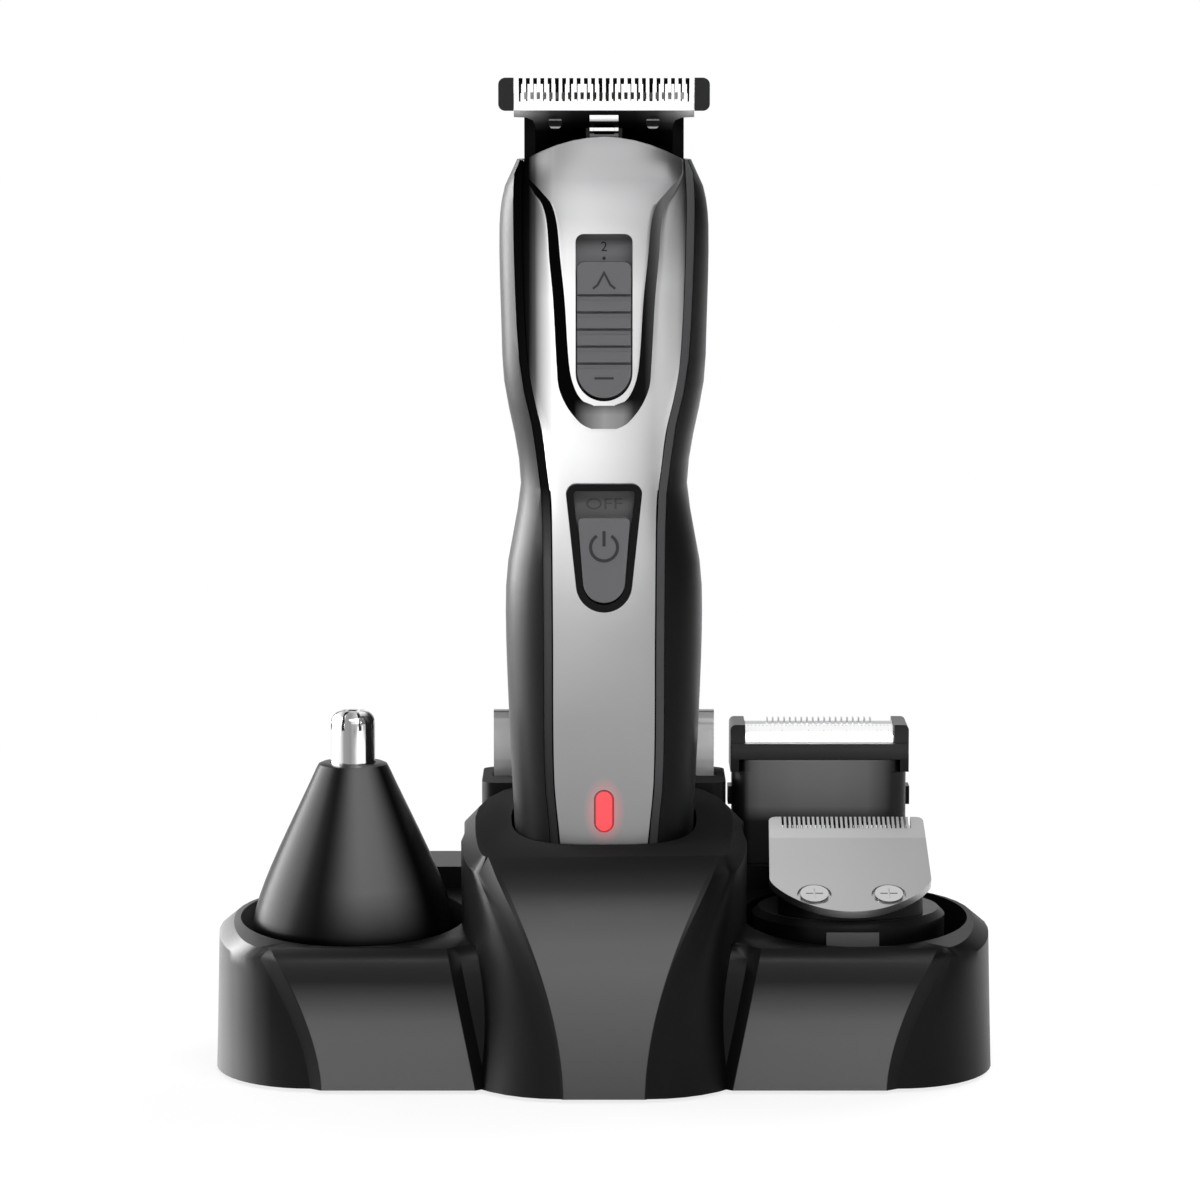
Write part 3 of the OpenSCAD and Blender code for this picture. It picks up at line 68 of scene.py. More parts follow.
# Handle sizes in millimetres, heights above the handle's foot
DOCK = 25.0
HANDLE = 150.5
WAIST = 89.0
GRIP = 62.0
SHOULDER = HANDLE - 12.5
COVER_FOOT = 1.2
COVER_RISE = 4.5
COVER_WALL = 1.8
COVER_EDGE_DROP = 0.16
TONGUE = 1.2
TONGUE_ROWS = 40
SLOT_W = 10.7
SLOT_TOP = HANDLE - 13.7
SLOT_LOW = SLOT_TOP - 31.2
SLOT_ROOM = 0.2
SLOT_CORNER = 1.5
TONGUE_LOW = SLOT_LOW - 0.9
BEVEL_LOW = TONGUE_LOW - 4.5
SWITCH_TOP = WAIST + 1
SWITCH_LOW = SWITCH_TOP - 24.4
SWITCH_FOOT_R = 5.33
SWITCH_CORNER = 2.0
SWITCH_CORNER_X = 5.2
LIGHT_Z = 27.6
LIGHT_HALF = 2.2
LIGHT_R = 1.9

# Marks in millimetres: line widths, height above the surface, depth below it, and the height of printed words
MARK_LINE = 0.42
POWER_LINE = 0.6
MARK_HEIGHT = 0.06
MARK_DEPTH = 0.2
INK = 0.02

# Materials by short name, filled when the bodies are dressed
FINISH = {}

# Camera that stands as the photo's did
CAMERA_X = -0.00076
CAMERA_LENS = 149.4
CAMERA_DIP = 6.657


def upper(part):
    """Height at a part of the way from the waist up to the shoulders."""
    return WAIST + part * (SHOULDER - WAIST)


# Profiles up the handle, as (height, value) stations
WIDTH_LINE = [
    (0, 14.5), (2, 16.2), (20, 17.1), (45, 18.3), (GRIP, 18.85), (GRIP + 10, 18.6), (WAIST - 9, 17.25),
    (WAIST, 15.9), (upper(0.18), 17.0), (upper(0.39), 19.05), (upper(0.63), 19.6), (SHOULDER, 19.9),
    (SHOULDER + 7, 19.0), (SHOULDER + 11, 17.2), (HANDLE, 16.55), (HANDLE + 6, 16.3),
]
FRONT_LINE = [
    (0, 12.6), (2, 14.2), (20, 15.4), (GRIP, 16.2), (WAIST, 15.2), (upper(0.735), 15.2), (SHOULDER, 14.9),
    (HANDLE, 13.0), (HANDLE + 6, 12.4),
]
COVER_LINE = [
    (0, 7.6), (20, 8.35), (34, 9.55), (GRIP, 9.75), (WAIST - 9, 9.9), (WAIST - 2, 10.1), (upper(0.08), 10.8),
    (upper(0.22), 11.7), (upper(0.35), 13.2), (upper(0.47), 14.2), (upper(0.735), 15.0), (SHOULDER + 5, 15.4),
    (HANDLE, 15.1), (HANDLE + 6, 15.1),
]
TONGUE_LINE = [
    (TONGUE_LOW, 1.9), (TONGUE_LOW + 0.9, 3.9), (TONGUE_LOW + 3.3, 5.5), (TONGUE_LOW + 7.3, 6.5),
    (TONGUE_LOW + 20, 7.4), (SHOULDER - 5.7, 8.2), (SHOULDER + 1.2, 8.9), (SHOULDER + 4.9, 10.0),
    (SHOULDER + 7.4, 11.7), (HANDLE, 14.5), (HANDLE + 6, 14.6),
]
BEVEL_LINE = [
    (BEVEL_LOW, 2.2), (BEVEL_LOW + 0.4, 3.2), (BEVEL_LOW + 1.3, 4.6), (BEVEL_LOW + 4.3, 7.0),
    (TONGUE_LOW + 3.3, 8.5), (TONGUE_LOW + 7.3, 8.9), (TONGUE_LOW + 20, 9.6), (SHOULDER - 5.7, 10.3),
    (SHOULDER + 1.2, 10.8), (SHOULDER + 4.9, 11.8), (SHOULDER + 7.4, 13.2), (HANDLE, 14.8),
    (HANDLE + 6, 14.8),
]


def srgb(text):
    """Linear RGBA of an sRGB hex colour."""
    parts = [int(text[i:i + 2], 16) / 255 for i in (1, 3, 5)]
    return tuple(c / 12.92 if c <= 0.04045 else ((c + 0.055) / 1.055) ** 2.4 for c in parts) + (1.0,)


def feed(tree, value, socket):
    """Gives a socket a value, or links it to another socket or to a node's live output."""
    if isinstance(value, bpy.types.Node):
        value = next(output for output in value.outputs if output.enabled)
    if isinstance(value, bpy.types.NodeSocket):
        tree.links.new(value, socket)
    else:
        socket.default_value = value


def add(tree, kind, inputs=(), operation=None, **settings):
    """A node with its settings; inputs, by name or in order, are values or what feeds them."""
    node = tree.nodes.new(kind)
    if operation:
        node.operation = operation
    for key, value in settings.items():
        setattr(node, key, value)
    for key, value in inputs.items() if isinstance(inputs, dict) else enumerate(inputs):
        feed(tree, value, node.inputs[key])
    return node


def new_material(name, **sockets):
    """A material with one Principled shader; returns it, its tree and its shader."""
    material = bpy.data.materials.get(name)
    if material:
        bpy.data.materials.remove(material)
    material = bpy.data.materials.new(name)
    material.use_nodes = True
    tree = material.node_tree
    tree.nodes.clear()
    shader = add(tree, "ShaderNodeBsdfPrincipled", {k.replace("_", " "): v for k, v in sockets.items()})
    add(tree, "ShaderNodeOutputMaterial", [shader])
    return material, tree, shader


def finish(name, colour, pattern, shine, *steps, **sockets):
    """A material; its colour is a hex, an axis with stops for tones, or a function of the tree.

    The pattern is its grain: size and depth in mm, roughness and its spread. The steps come last.
    """
    material, tree, shader = new_material(name, Specular_IOR_Level=shine, **sockets)
    if callable(colour):
        base = colour(tree)
    else:
        base = srgb(colour) if isinstance(colour, str) else tones(tree, *colour)
    feed(tree, base, shader.inputs["Base Color"])
    grain(tree, shader, *pattern)
    for step in steps:
        step(tree, shader)
    return material


def grain(tree, shader, size_mm, depth_mm, rough, spread, stretch=(1, 1, 1)):
    """Surface grain of a real size: a bump, and a roughness that varies with it."""
    broad_mm = 14
    place = add(tree, COORD).outputs["Object"]
    turned = add(tree, "ShaderNodeMapping", {"Vector": place, "Scale": stretch})
    noise = add(tree, "ShaderNodeTexNoise", {"Vector": turned, "Scale": 1 / (size_mm * MM), "Detail": 3.0})
    wide = add(tree, "ShaderNodeTexNoise", {"Vector": place, "Scale": 1 / (broad_mm * MM), "Detail": 2.0})
    mixed = add(tree, MATH, [noise, wide], "ADD")
    span = add(tree, RANGE, [mixed, 0.6, 1.4, rough - spread, rough + spread])
    feed(tree, span, shader.inputs["Roughness"])
    bump = add(tree, "ShaderNodeBump", {"Height": noise, "Distance": depth_mm * MM, "Strength": 0.6})
    feed(tree, bump, shader.inputs["Normal"])


def spot(tree, kind="Object"):
    """X, Y and Z of a point on the object, or with kind Normal of the way the surface faces."""
    return add(tree, AXES, [add(tree, COORD).outputs[kind]]).outputs


def along(tree, axis, low_mm, high_mm, low=0.0, high=1.0, folded=False):
    """A number that rises along one axis of the object; folded, it reads the distance from the middle."""
    value = spot(tree)[axis]
    if folded:
        value = add(tree, MATH, [value], "ABSOLUTE")
    return add(tree, RANGE, [value, low_mm * MM, high_mm * MM, low, high])


def tones(tree, axis, stops, folded=False):
    """A colour that changes along one axis of the object, through [mm, hex] stops."""
    low, high = stops[0][0], stops[-1][0]
    ramp = add(tree, "ShaderNodeValToRGB", [along(tree, axis, low, high, folded=folded)])
    marks = ramp.color_ramp.elements
    marks[0].color = srgb(stops[0][1])
    marks[1].color = srgb(stops[-1][1])
    for at, colour in stops[1:-1]:
        marks.new((at - low) / (high - low)).color = srgb(colour)
    return ramp


def off_the_roll(tree):
    """Above zero on every edge but the level ones along the stand's top front, where its panels roll back."""
    front, low, level = 21 * MM, 26 * MM, 0.3 * MM
    ends = add(tree, "GeometryNodeInputMeshEdgeVertices").outputs
    run = add(tree, VECTOR, [ends["Position 1"], ends["Position 2"]], "SUBTRACT")
    size = add(tree, VECTOR, [run], "ABSOLUTE")
    size = add(tree, AXES, [size]).outputs
    slant = add(tree, MATH, [size[1], size[2]], "MAXIMUM")
    place = add(tree, AXES, [ends["Position 1"]]).outputs
    behind = add(tree, MATH, [place[1], front], "ADD")
    below = add(tree, MATH, [low, place[2]], "SUBTRACT")
    outside = add(tree, MATH, [behind, below], "MAXIMUM")
    slant = add(tree, MATH, [slant, level], "SUBTRACT")
    return add(tree, MATH, [slant, outside], "MAXIMUM")


def painted_back_light(tree, shader, upward=0.0):
    """Paints light on a black moulding's back, so that its form reads there; upward holds that off."""
    way = spot(tree, "Normal")
    turned = add(tree, MATH, [way[2], -upward, way[1]], "MULTIPLY_ADD")
    part = add(tree, RANGE, [turned, -0.5, 0.4])
    base = shader.inputs["Base Color"]
    front = base.links[0].from_socket if base.is_linked else tuple(base.default_value)
    feed(tree, add(tree, MIX, {0: part, 6: front, 7: srgb("#2a2a2b")}, **RGBA), base)


def smooth_tree(rolled):
    """Modifier tree that shades smooth except over sharp edges; rolled is for the stand's panels."""
    name = "smooth_and_rolled" if rolled else "smooth_by_angle"
    if name in bpy.data.node_groups:
        return bpy.data.node_groups[name]
    tree = bpy.data.node_groups.new(name, "GeometryNodeTree")
    for way in ("INPUT", "OUTPUT"):
        tree.interface.new_socket("Geometry", in_out=way, socket_type="NodeSocketGeometry")
    shape = add(tree, "NodeGroupInput").outputs[0]
    faces = add(tree, "GeometryNodeSetShadeSmooth", {"Geometry": shape, "Shade Smooth": True}, domain="FACE")
    angle = add(tree, "GeometryNodeInputMeshEdgeAngle")
    sharp = add(tree, "FunctionNodeCompare", [angle, SMOOTH_ANGLE], "GREATER_THAN")
    if rolled:
        kept = add(tree, "FunctionNodeCompare", [off_the_roll(tree), 0.0], "GREATER_THAN")
        sharp = add(tree, "FunctionNodeBooleanMath", [sharp, kept], "AND")
    edges = add(tree, "GeometryNodeSetShadeSmooth", {
        "Geometry": faces, "Selection": sharp, "Shade Smooth": False}, domain="EDGE")
    add(tree, "NodeGroupOutput", [edges])
    return tree


def dress(name, material):
    """Gives a frame node its material, welded corners and smooth shading."""
    node = NODES[name]
    node.data.materials.clear()
    node.data.materials.append(material)
    weld = node.modifiers.new("weld", "WELD")
    weld.merge_threshold = WELD
    shade = node.modifiers.new("shade", "NODES")
    shade.node_group = smooth_tree(rolled=name == "stand_shell")


def finish_piece(name, mesh, look, body, replaces=()):
    """An object in the frame for a finished mesh, riding on its body; a look is added if one is named."""
    piece = bpy.data.objects.new(name, mesh)
    bpy.context.scene.collection.objects.link(piece)
    if look:
        mesh.materials.append(FINISH[look])
    mesh.polygons.foreach_set("use_smooth", [True] * len(mesh.polygons))
    mesh.set_sharp_from_angle(angle=SMOOTH_ANGLE)
    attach(piece, body)
    if replaces:
        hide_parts(*replaces)


def line_at(stations, z):
    """Smooth line through stations, level beyond its ends."""
    if z <= stations[0][0]:
        return stations[0][1]
    if z >= stations[-1][0]:
        return stations[-1][1]
    i = max(k for k in range(len(stations) - 1) if stations[k][0] < z)
    (z0, v0), (z1, v1) = stations[i], stations[i + 1]

    def slope(k):
        if k == 0 or k == len(stations) - 1:
            return 0.0
        return (stations[k + 1][1] - stations[k - 1][1]) / (stations[k + 1][0] - stations[k - 1][0])

    h = z1 - z0
    t = (z - z0) / h
    return (v0 * (2 * t ** 3 - 3 * t ** 2 + 1) + slope(i) * h * (t ** 3 - 2 * t ** 2 + t)
            + v1 * (3 * t ** 2 - 2 * t ** 3) + slope(i + 1) * h * (t ** 3 - t ** 2))


def share(low, high, value):
    """Part of the way from low to high, kept between none and all."""
    return min(1.0, max(0.0, (value - low) / (high - low)))


def front_depth(x, z):
    """Depth of the handle's front surface in front of its axis."""
    k = 1 - min(1.0, abs(x) / line_at(WIDTH_LINE, z)) ** 3
    return line_at(FRONT_LINE, z) * k ** (1 / 3)


def mesh_of(bm, name):
    """A mesh from a bmesh, which goes."""
    mesh = bpy.data.meshes.new(name)
    bm.to_mesh(mesh)
    bm.free()
    return mesh


def settled(holder):
    """Plain mesh of an object as its modifiers leave it; the object goes."""
    bpy.context.scene.collection.objects.link(holder)
    bpy.context.view_layer.update()
    result = holder.evaluated_get(bpy.context.evaluated_depsgraph_get())
    mesh = bpy.data.meshes.new_from_object(result)
    bpy.data.objects.remove(holder)
    return mesh


def box_mm(name):
    """Low and high corners of a frame node, in millimetres."""
    return [[v / MM for v in corner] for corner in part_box(name)]


def prism(outline, y0, y1):
    """Closed mesh of an outline in X and Z, given depth from y0 to y1, all in millimetres."""
    bm = bmesh.new()
    rings = [[bm.verts.new((x * MM, y * MM, z * MM)) for x, z in outline] for y in (y0, y1)]
    count = len(outline)
    for i in range(count):
        j = (i + 1) % count
        bm.faces.new((rings[0][i], rings[0][j], rings[1][j], rings[1][i]))
    bm.faces.new(rings[0])
    bm.faces.new(rings[1])
    bmesh.ops.recalc_face_normals(bm, faces=bm.faces)
    return mesh_of(bm, "prism")


def strip(half, foot, top):
    """Outline of a level strip across the middle."""
    return [(-half, foot), (half, foot), (half, top), (-half, top)]


def joined(name, meshes):
    """One mesh of several."""
    bm = bmesh.new()
    for mesh in meshes:
        bm.from_mesh(mesh)
        bpy.data.meshes.remove(mesh)
    return mesh_of(bm, name)


def arc(cx, cz, r, start, end, count):
    """Points on an arc in X and Z, in degrees."""
    turns = [math.radians(start + (end - start) * i / count) for i in range(count + 1)]
    return [(cx + r * math.cos(turn), cz + r * math.sin(turn)) for turn in turns]


def stroke(points, width):
    """Outline of a line of even width through points."""
    sides = ([], [])
    for i, p in enumerate(points):
        a = Vector(points[max(0, i - 1)])
        b = Vector(points[min(len(points) - 1, i + 1)])
        along_line = (b - a).normalized()
        across = Vector((-along_line.y, along_line.x))
        grow = 1.0
        if 0 < i < len(points) - 1:
            first = (Vector(p) - a).normalized()
            grow = 1 / max(0.5, abs(Vector((-first.y, first.x)).dot(across)))
        for side, sign in zip(sides, (1, -1)):
            side.append(tuple(Vector(p) + across * sign * width / 2 * grow))
    return sides[0] + sides[1][::-1]


def raised_mark(points, width, face):
    """Line of a mark that stands a little above a face."""
    return prism(stroke(points, width), face - MARK_HEIGHT, face + MARK_DEPTH)


def lettering(text, size_mm, place_mm):
    """Mesh of short lettering that faces forwards."""
    curve = bpy.data.curves.new("lettering", "FONT")
    curve.body = text
    curve.size = size_mm * MM
    curve.extrude = 0.05 * MM
    curve.align_x = "CENTER"
    curve.align_y = "CENTER"
    mesh = settled(bpy.data.objects.new("lettering", curve))
    bpy.data.curves.remove(curve)
    mesh.transform(Matrix.Translation(Vector(place_mm) * MM) @ Matrix.Rotation(math.radians(90), 4, "X"))
    return mesh


class TrimmerColours(bpy.types.PropertyGroup):
    """Colours of the finishes."""
    black: StringProperty(name="Black", description="Moulded shells and stand", default="#050506")
    gloss: StringProperty(name="Gloss black", description="Polished mouldings", default="#050506")
    grey: StringProperty(name="Grey", description="Slider and switch", default="#565658")
    band: StringProperty(name="Band", description="Bands beside the cover", default="#434344")
    steel: StringProperty(name="Steel", description="Ground blades", default="#e9eaeb")
    lens: StringProperty(name="Lens", description="Charge light", default="#f43840")
    comb: StringProperty(name="Comb", description="Smoke comb", default="#cecece")


class TrimmerSizes(bpy.types.PropertyGroup):
    """Sizes of the finishes and the studio."""
    cover_rows: IntProperty(name="Cover rows", description="Rows up the front cover", default=170, min=40)
    ridge: FloatProperty(name="Ridge height", description="On the slider", default=0.0003, unit="LENGTH")
    ticks: IntProperty(name="Foil slots", description="Slots along the foil's crest", default=19, min=2)
    camera_distance: FloatProperty(
        name="Camera distance", description="From the trimmer's axis", default=0.95, unit="LENGTH")
    camera_height: FloatProperty(
        name="Camera height", description="Above the table", default=0.202, unit="LENGTH")


def stand_colour(tree):
    """Black, with a painted highlight at the left end; the front panels have painted light, grey low down and
    black towards the top.
    """
    across = add(tree, MATH, [spot(tree)[0]], "ABSOLUTE")
    soft = 0.2 * MM
    # Half the column's panel, which flares from its foot up
    tall, foot, flare, power = 46, 7.7 * MM, 14.1 * MM, 1.9
    curve = add(tree, MATH, [along(tree, 2, 0, tall), power], "POWER")
    edge = add(tree, MATH, [curve, flare, foot], "MULTIPLY_ADD")
    inside = add(tree, MATH, [edge, across], "SUBTRACT")
    column_part = add(tree, RANGE, [inside, 0.0, soft])
    # A wing's panel, which leans outwards on its inner side and flares on its outer one
    rise = along(tree, 2, 0.8, 27.8)
    foot, lean = 24.3 * MM, 5.4 * MM
    inner = add(tree, MATH, [rise, lean, foot], "MULTIPLY_ADD")
    foot, flare, power = 53.5 * MM, 9.6 * MM, 1.7
    curve = add(tree, MATH, [rise, power], "POWER")
    outer = add(tree, MATH, [curve, flare, foot], "MULTIPLY_ADD")
    past = add(tree, MATH, [across, inner], "SUBTRACT")
    before = add(tree, MATH, [outer, across], "SUBTRACT")
    between = add(tree, MATH, [past, before], "MINIMUM")
    wing_part = add(tree, RANGE, [between, 0.0, soft])
    either = add(tree, MATH, [column_part, wing_part], "MAXIMUM")
    panels = add(tree, MATH, [either, along(tree, 1, -17, -18)], "MULTIPLY")
    # Painted light on the front panels: grey low down, black towards the top
    column = tones(tree, 2, [
        (0, "#434344"), (10, "#4b4b4c"), (17, "#505051"), (25, "#535354"), (30, "#4e4e4f"),
        (36, "#353536"), (39.5, "#19191a"), (43, "#030303"), (48, "#020202")])
    wing = tones(tree, 2, [
        (0, "#545455"), (10.5, "#535354"), (14, "#4f4f50"), (18.2, "#373738"), (21.5, "#0c0c0d"),
        (24, "#030303")])
    outside = along(tree, 0, 23.5, 24, folded=True)
    panel_painted_light = add(tree, MIX, {0: outside, 6: column, 7: wing}, **RGBA)
    # Painted highlight at the stand's left end, black elsewhere
    shell_with_painted_highlight = tones(tree, 0, [
        (-75, "#aaaaaa"), (-73.2, "#808080"), (-71, "#5c5c5c"), (-68.5, "#424242"), (-66, "#262626"),
        (-63, bpy.context.scene.trimmer_colours.black)])
    return add(tree, MIX, {0: panels, 6: shell_with_painted_highlight, 7: panel_painted_light}, **RGBA)


def stand_top(tree, shader):
    """Paints light on the stand's back, less where it faces up, and dulls the level top of its column."""
    painted_back_light(tree, shader, upward=0.5)
    rough = shader.inputs["Roughness"]
    level = add(tree, RANGE, [spot(tree, "Normal")[2], 0.6, 0.95])
    top = add(tree, MATH, [level, along(tree, 2, 40, 43)], "MULTIPLY")
    dull = add(tree, MIX, {0: top, 2: rough.links[0].from_socket, 3: 0.95}, data_type="FLOAT")
    feed(tree, dull, rough)


def cone_colour(tree):
    """Black, with a painted highlight that faces forwards and a little to the right."""
    low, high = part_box("nose_cone")
    place = spot(tree)
    right = add(tree, MATH, [place[0], (low[0] + high[0]) / 2], "SUBTRACT")
    ahead = add(tree, MATH, [(low[1] + high[1]) / 2, place[1]], "SUBTRACT")
    turn = add(tree, MATH, [right, ahead], "ARCTAN2")
    turn = add(tree, MATH, [turn, math.radians(17)], "SUBTRACT")
    turn = add(tree, MATH, [turn], "ABSOLUTE")
    ends = [math.radians(6), math.radians(38), 1.0, 0.0]
    painted_highlight = add(tree, RANGE, [turn] + ends, interpolation_type="SMOOTHSTEP")
    painted_highlight = add(tree, MATH, [painted_highlight, along(tree, 2, 27, 37)], "MULTIPLY")
    black = srgb(bpy.context.scene.trimmer_colours.black)
    return add(tree, MIX, {0: painted_highlight, 6: black, 7: srgb("#565657")}, **RGBA)


def silver_colour(tree):
    """Silver with painted light and shade by height and side, painted shade at its edges, and a painted red
    glow around the lens.
    """
    # Painted light and shade up the cover, one ramp for its left and one for its right
    left = tones(tree, 2, [
        (52, "#8a8a8b"), (70, "#969697"), (93, "#b3b3b4"), (108, "#d7d7d8"), (121, "#f2f2f2"),
        (150, "#f5f5f5"), (158, "#dedede"), (165, "#adadae"), (172, "#8a8a8b"), (178, "#8e8e8f")])
    right = tones(tree, 2, [
        (40, "#8e8e8f"), (52, "#8b8b8c"), (85, "#99999a"), (124, "#b4b4b5"), (138, "#bfbfc0"),
        (152, "#bcbcbd"), (164, "#8d8d8e"), (172, "#717172"), (178, "#808081")])
    sides = add(tree, MIX, {0: along(tree, 0, -7, 9), 6: left, 7: right}, **RGBA)
    # Painted highlight on the right flank
    painted_flank_highlight = along(tree, 0, 9.5, 13, high=0.2)
    painted_flank_highlight = add(tree, MATH, [painted_flank_highlight, along(tree, 2, 171, 164)], "MULTIPLY")
    sides = add(tree, MIX, {0: painted_flank_highlight, 6: sides, 7: (1, 1, 1, 1)}, **RGBA)
    # Painted shade along both edges of the cover
    painted_edge_shade = tones(tree, 0, [
        (-15.3, "#060606"), (-14.1, "#101010"), (-13, "#484848"), (-11.8, "#ababab"), (-9.6, "#ffffff"),
        (11, "#ffffff"), (13.8, "#f4f4f4"), (14.7, "#d8d8d8"), (15.4, "#808080")])
    shaded = add(tree, MIX, {0: 1.0, 6: sides, 7: painted_edge_shade}, **RGBA, blend_type="MULTIPLY")
    # Painted glow of the lens's red light on the lacquer round it
    flat, near, far, most = 0.6, 1.4 * MM, 4 * MM, 0.42
    around = add(tree, "ShaderNodeMapping", {
        "Vector": add(tree, COORD).outputs["Object"], "Scale": (1.0, 0.0, flat),
        "Location": (0, 0, -(DOCK + LIGHT_Z) * flat * MM)})
    reach = add(tree, VECTOR, [around], "LENGTH")
    glow = add(tree, RANGE, [reach, near, far, most, 0.0])
    return add(tree, MIX, {0: glow, 6: shaded, 7: srgb("#ff9090")}, **RGBA)


def flake_edge(tree, shader):
    """No metal flake on the left edge of the cover."""
    feed(tree, along(tree, 0, -14.2, -11), shader.inputs["Metallic"])


def bevel_colour(tree):
    """A painted dark reflection that turns to a painted grey reflection where the bevel faces down."""
    sides = tones(tree, 0, [(0, "#050505"), (7.6, "#101010"), (9.4, "#3a3a3a"), (11, "#5a5a5a")])
    foot = tones(tree, 0, [
        (-8, "#050505"), (-5.6, "#080808"), (-3.6, "#5c5c5c"), (0, "#8a8a8a"), (3.6, "#787878"),
        (5.6, "#303030"), (8, "#101010")])
    return add(tree, MIX, {0: along(tree, 2, 131, 128), 6: sides, 7: foot}, **RGBA)


def band_colour(tree):
    """Graphite with painted shade: darker low down on the right band and at both ends of the left one."""
    band = bpy.context.scene.trimmer_colours.band
    lit = tones(tree, 2, [(28, "#161617"), (45, "#303031"), (62, band)])
    turned = tones(tree, 2, [
        (28, "#1c1c1d"), (60, "#2c2c2d"), (100, band), (114, "#0e0e0f"), (176, "#030303")])
    return add(tree, MIX, {0: along(tree, 0, -2, 2), 6: turned, 7: lit}, **RGBA)


def blade_colour(tree):
    """Bright along the teeth and blackened below them, with painted glints that lighten it towards the ends.
    """
    # Painted glints towards both ends
    corner = tones(tree, 0, [
        (0, "#101010"), (6, "#1c1c1c"), (10, "#3a3a3a"), (13, "#787878"), (16, "#b4b4b4")], folded=True)
    lower = tones(tree, 2, [
        (178, "#0a0a0a"), (181, "#141414"), (182.4, "#4a4a4a"), (183.6, "#9a9a9a"), (184.8, "#e0e0e0")])
    oxide_and_glint = add(tree, MIX, {0: 1.0, 6: corner, 7: lower}, **RGBA, blend_type="MULTIPLY")
    bright = along(tree, 2, 184.8, 185.0)
    return add(tree, MIX, {0: bright, 6: oxide_and_glint, 7: srgb("#f4f4f4")}, **RGBA)


def plate_colour(tree):
    """Painted shade a little darker to the right, with a painted highlight on the strip behind the teeth."""
    # Painted shade, darker towards the right
    brushed = tones(tree, 0, [(30, "#c9c9ca"), (45, "#bfbfc0"), (62, "#b1b1b2")])
    # Painted highlight on the strip behind the teeth
    ground = tones(tree, 2, [(30, "#f0f0f0"), (44.2, "#eeeeee"), (44.4, "#ffffff")])
    return add(tree, MIX, {0: 1.0, 6: brushed, 7: ground}, **RGBA, blend_type="MULTIPLY")


def foil_colour(tree):
    """Bright sheet with darker holes, and a darker crest."""
    pitch = 0.75 * MM
    place = add(tree, COORD).outputs["Object"]
    holes = add(tree, "ShaderNodeTexVoronoi", {"Vector": place, "Scale": 1 / pitch, "Randomness": 0.15})
    edge = add(tree, RANGE, [holes, 0.2, 0.32])
    sheet = add(tree, MIX, {0: edge, 6: srgb("#d2d3d4"), 7: srgb("#f7f7f7")}, **RGBA)
    crest = along(tree, 2, 63.15, 63.25)
    return add(tree, MIX, {0: crest, 6: sheet, 7: srgb("#b9babb")}, **RGBA)


def front_colour(tree):
    """Painted light broadly in the middle, with painted shade black at the sides and a painted shadow low
    down.
    """
    lit = tones(tree, 0, [
        (25, "#050506"), (27.6, "#101011"), (28.8, "#484849"), (31, "#585859"), (38, "#616162"),
        (46, "#5f5f60"), (52, "#575758"), (55.2, "#3a3a3b"), (56.8, "#0c0c0d"), (60, "#060607")])
    return add(tree, MIX, {0: along(tree, 2, 44.5, 47.5), 6: srgb("#030304"), 7: lit}, **RGBA)


def lens_tone(tree, core, rim):
    """One colour inside the light's lens and another round its rim."""
    inner, outer = 1.42 * MM, 1.55 * MM
    place = spot(tree)
    rise = add(tree, MATH, [place[2], (DOCK + LIGHT_Z) * MM], "SUBTRACT")
    rise = add(tree, MATH, [rise], "ABSOLUTE")
    rise = add(tree, MATH, [rise, LIGHT_HALF * MM], "SUBTRACT")
    rise = add(tree, MATH, [rise, 0.0], "MAXIMUM")
    flat = add(tree, "ShaderNodeCombineXYZ", [place[0], rise])
    reach = add(tree, VECTOR, [flat], "LENGTH")
    part = add(tree, RANGE, [reach, inner, outer])
    return add(tree, MIX, {0: part, 6: srgb(core), 7: srgb(rim)}, **RGBA)


def lens_glow(tree, shader):
    """Lights the lens, least round its rim."""
    feed(tree, lens_tone(tree, "#ff383c", "#641418"), shader.inputs["Emission Color"])


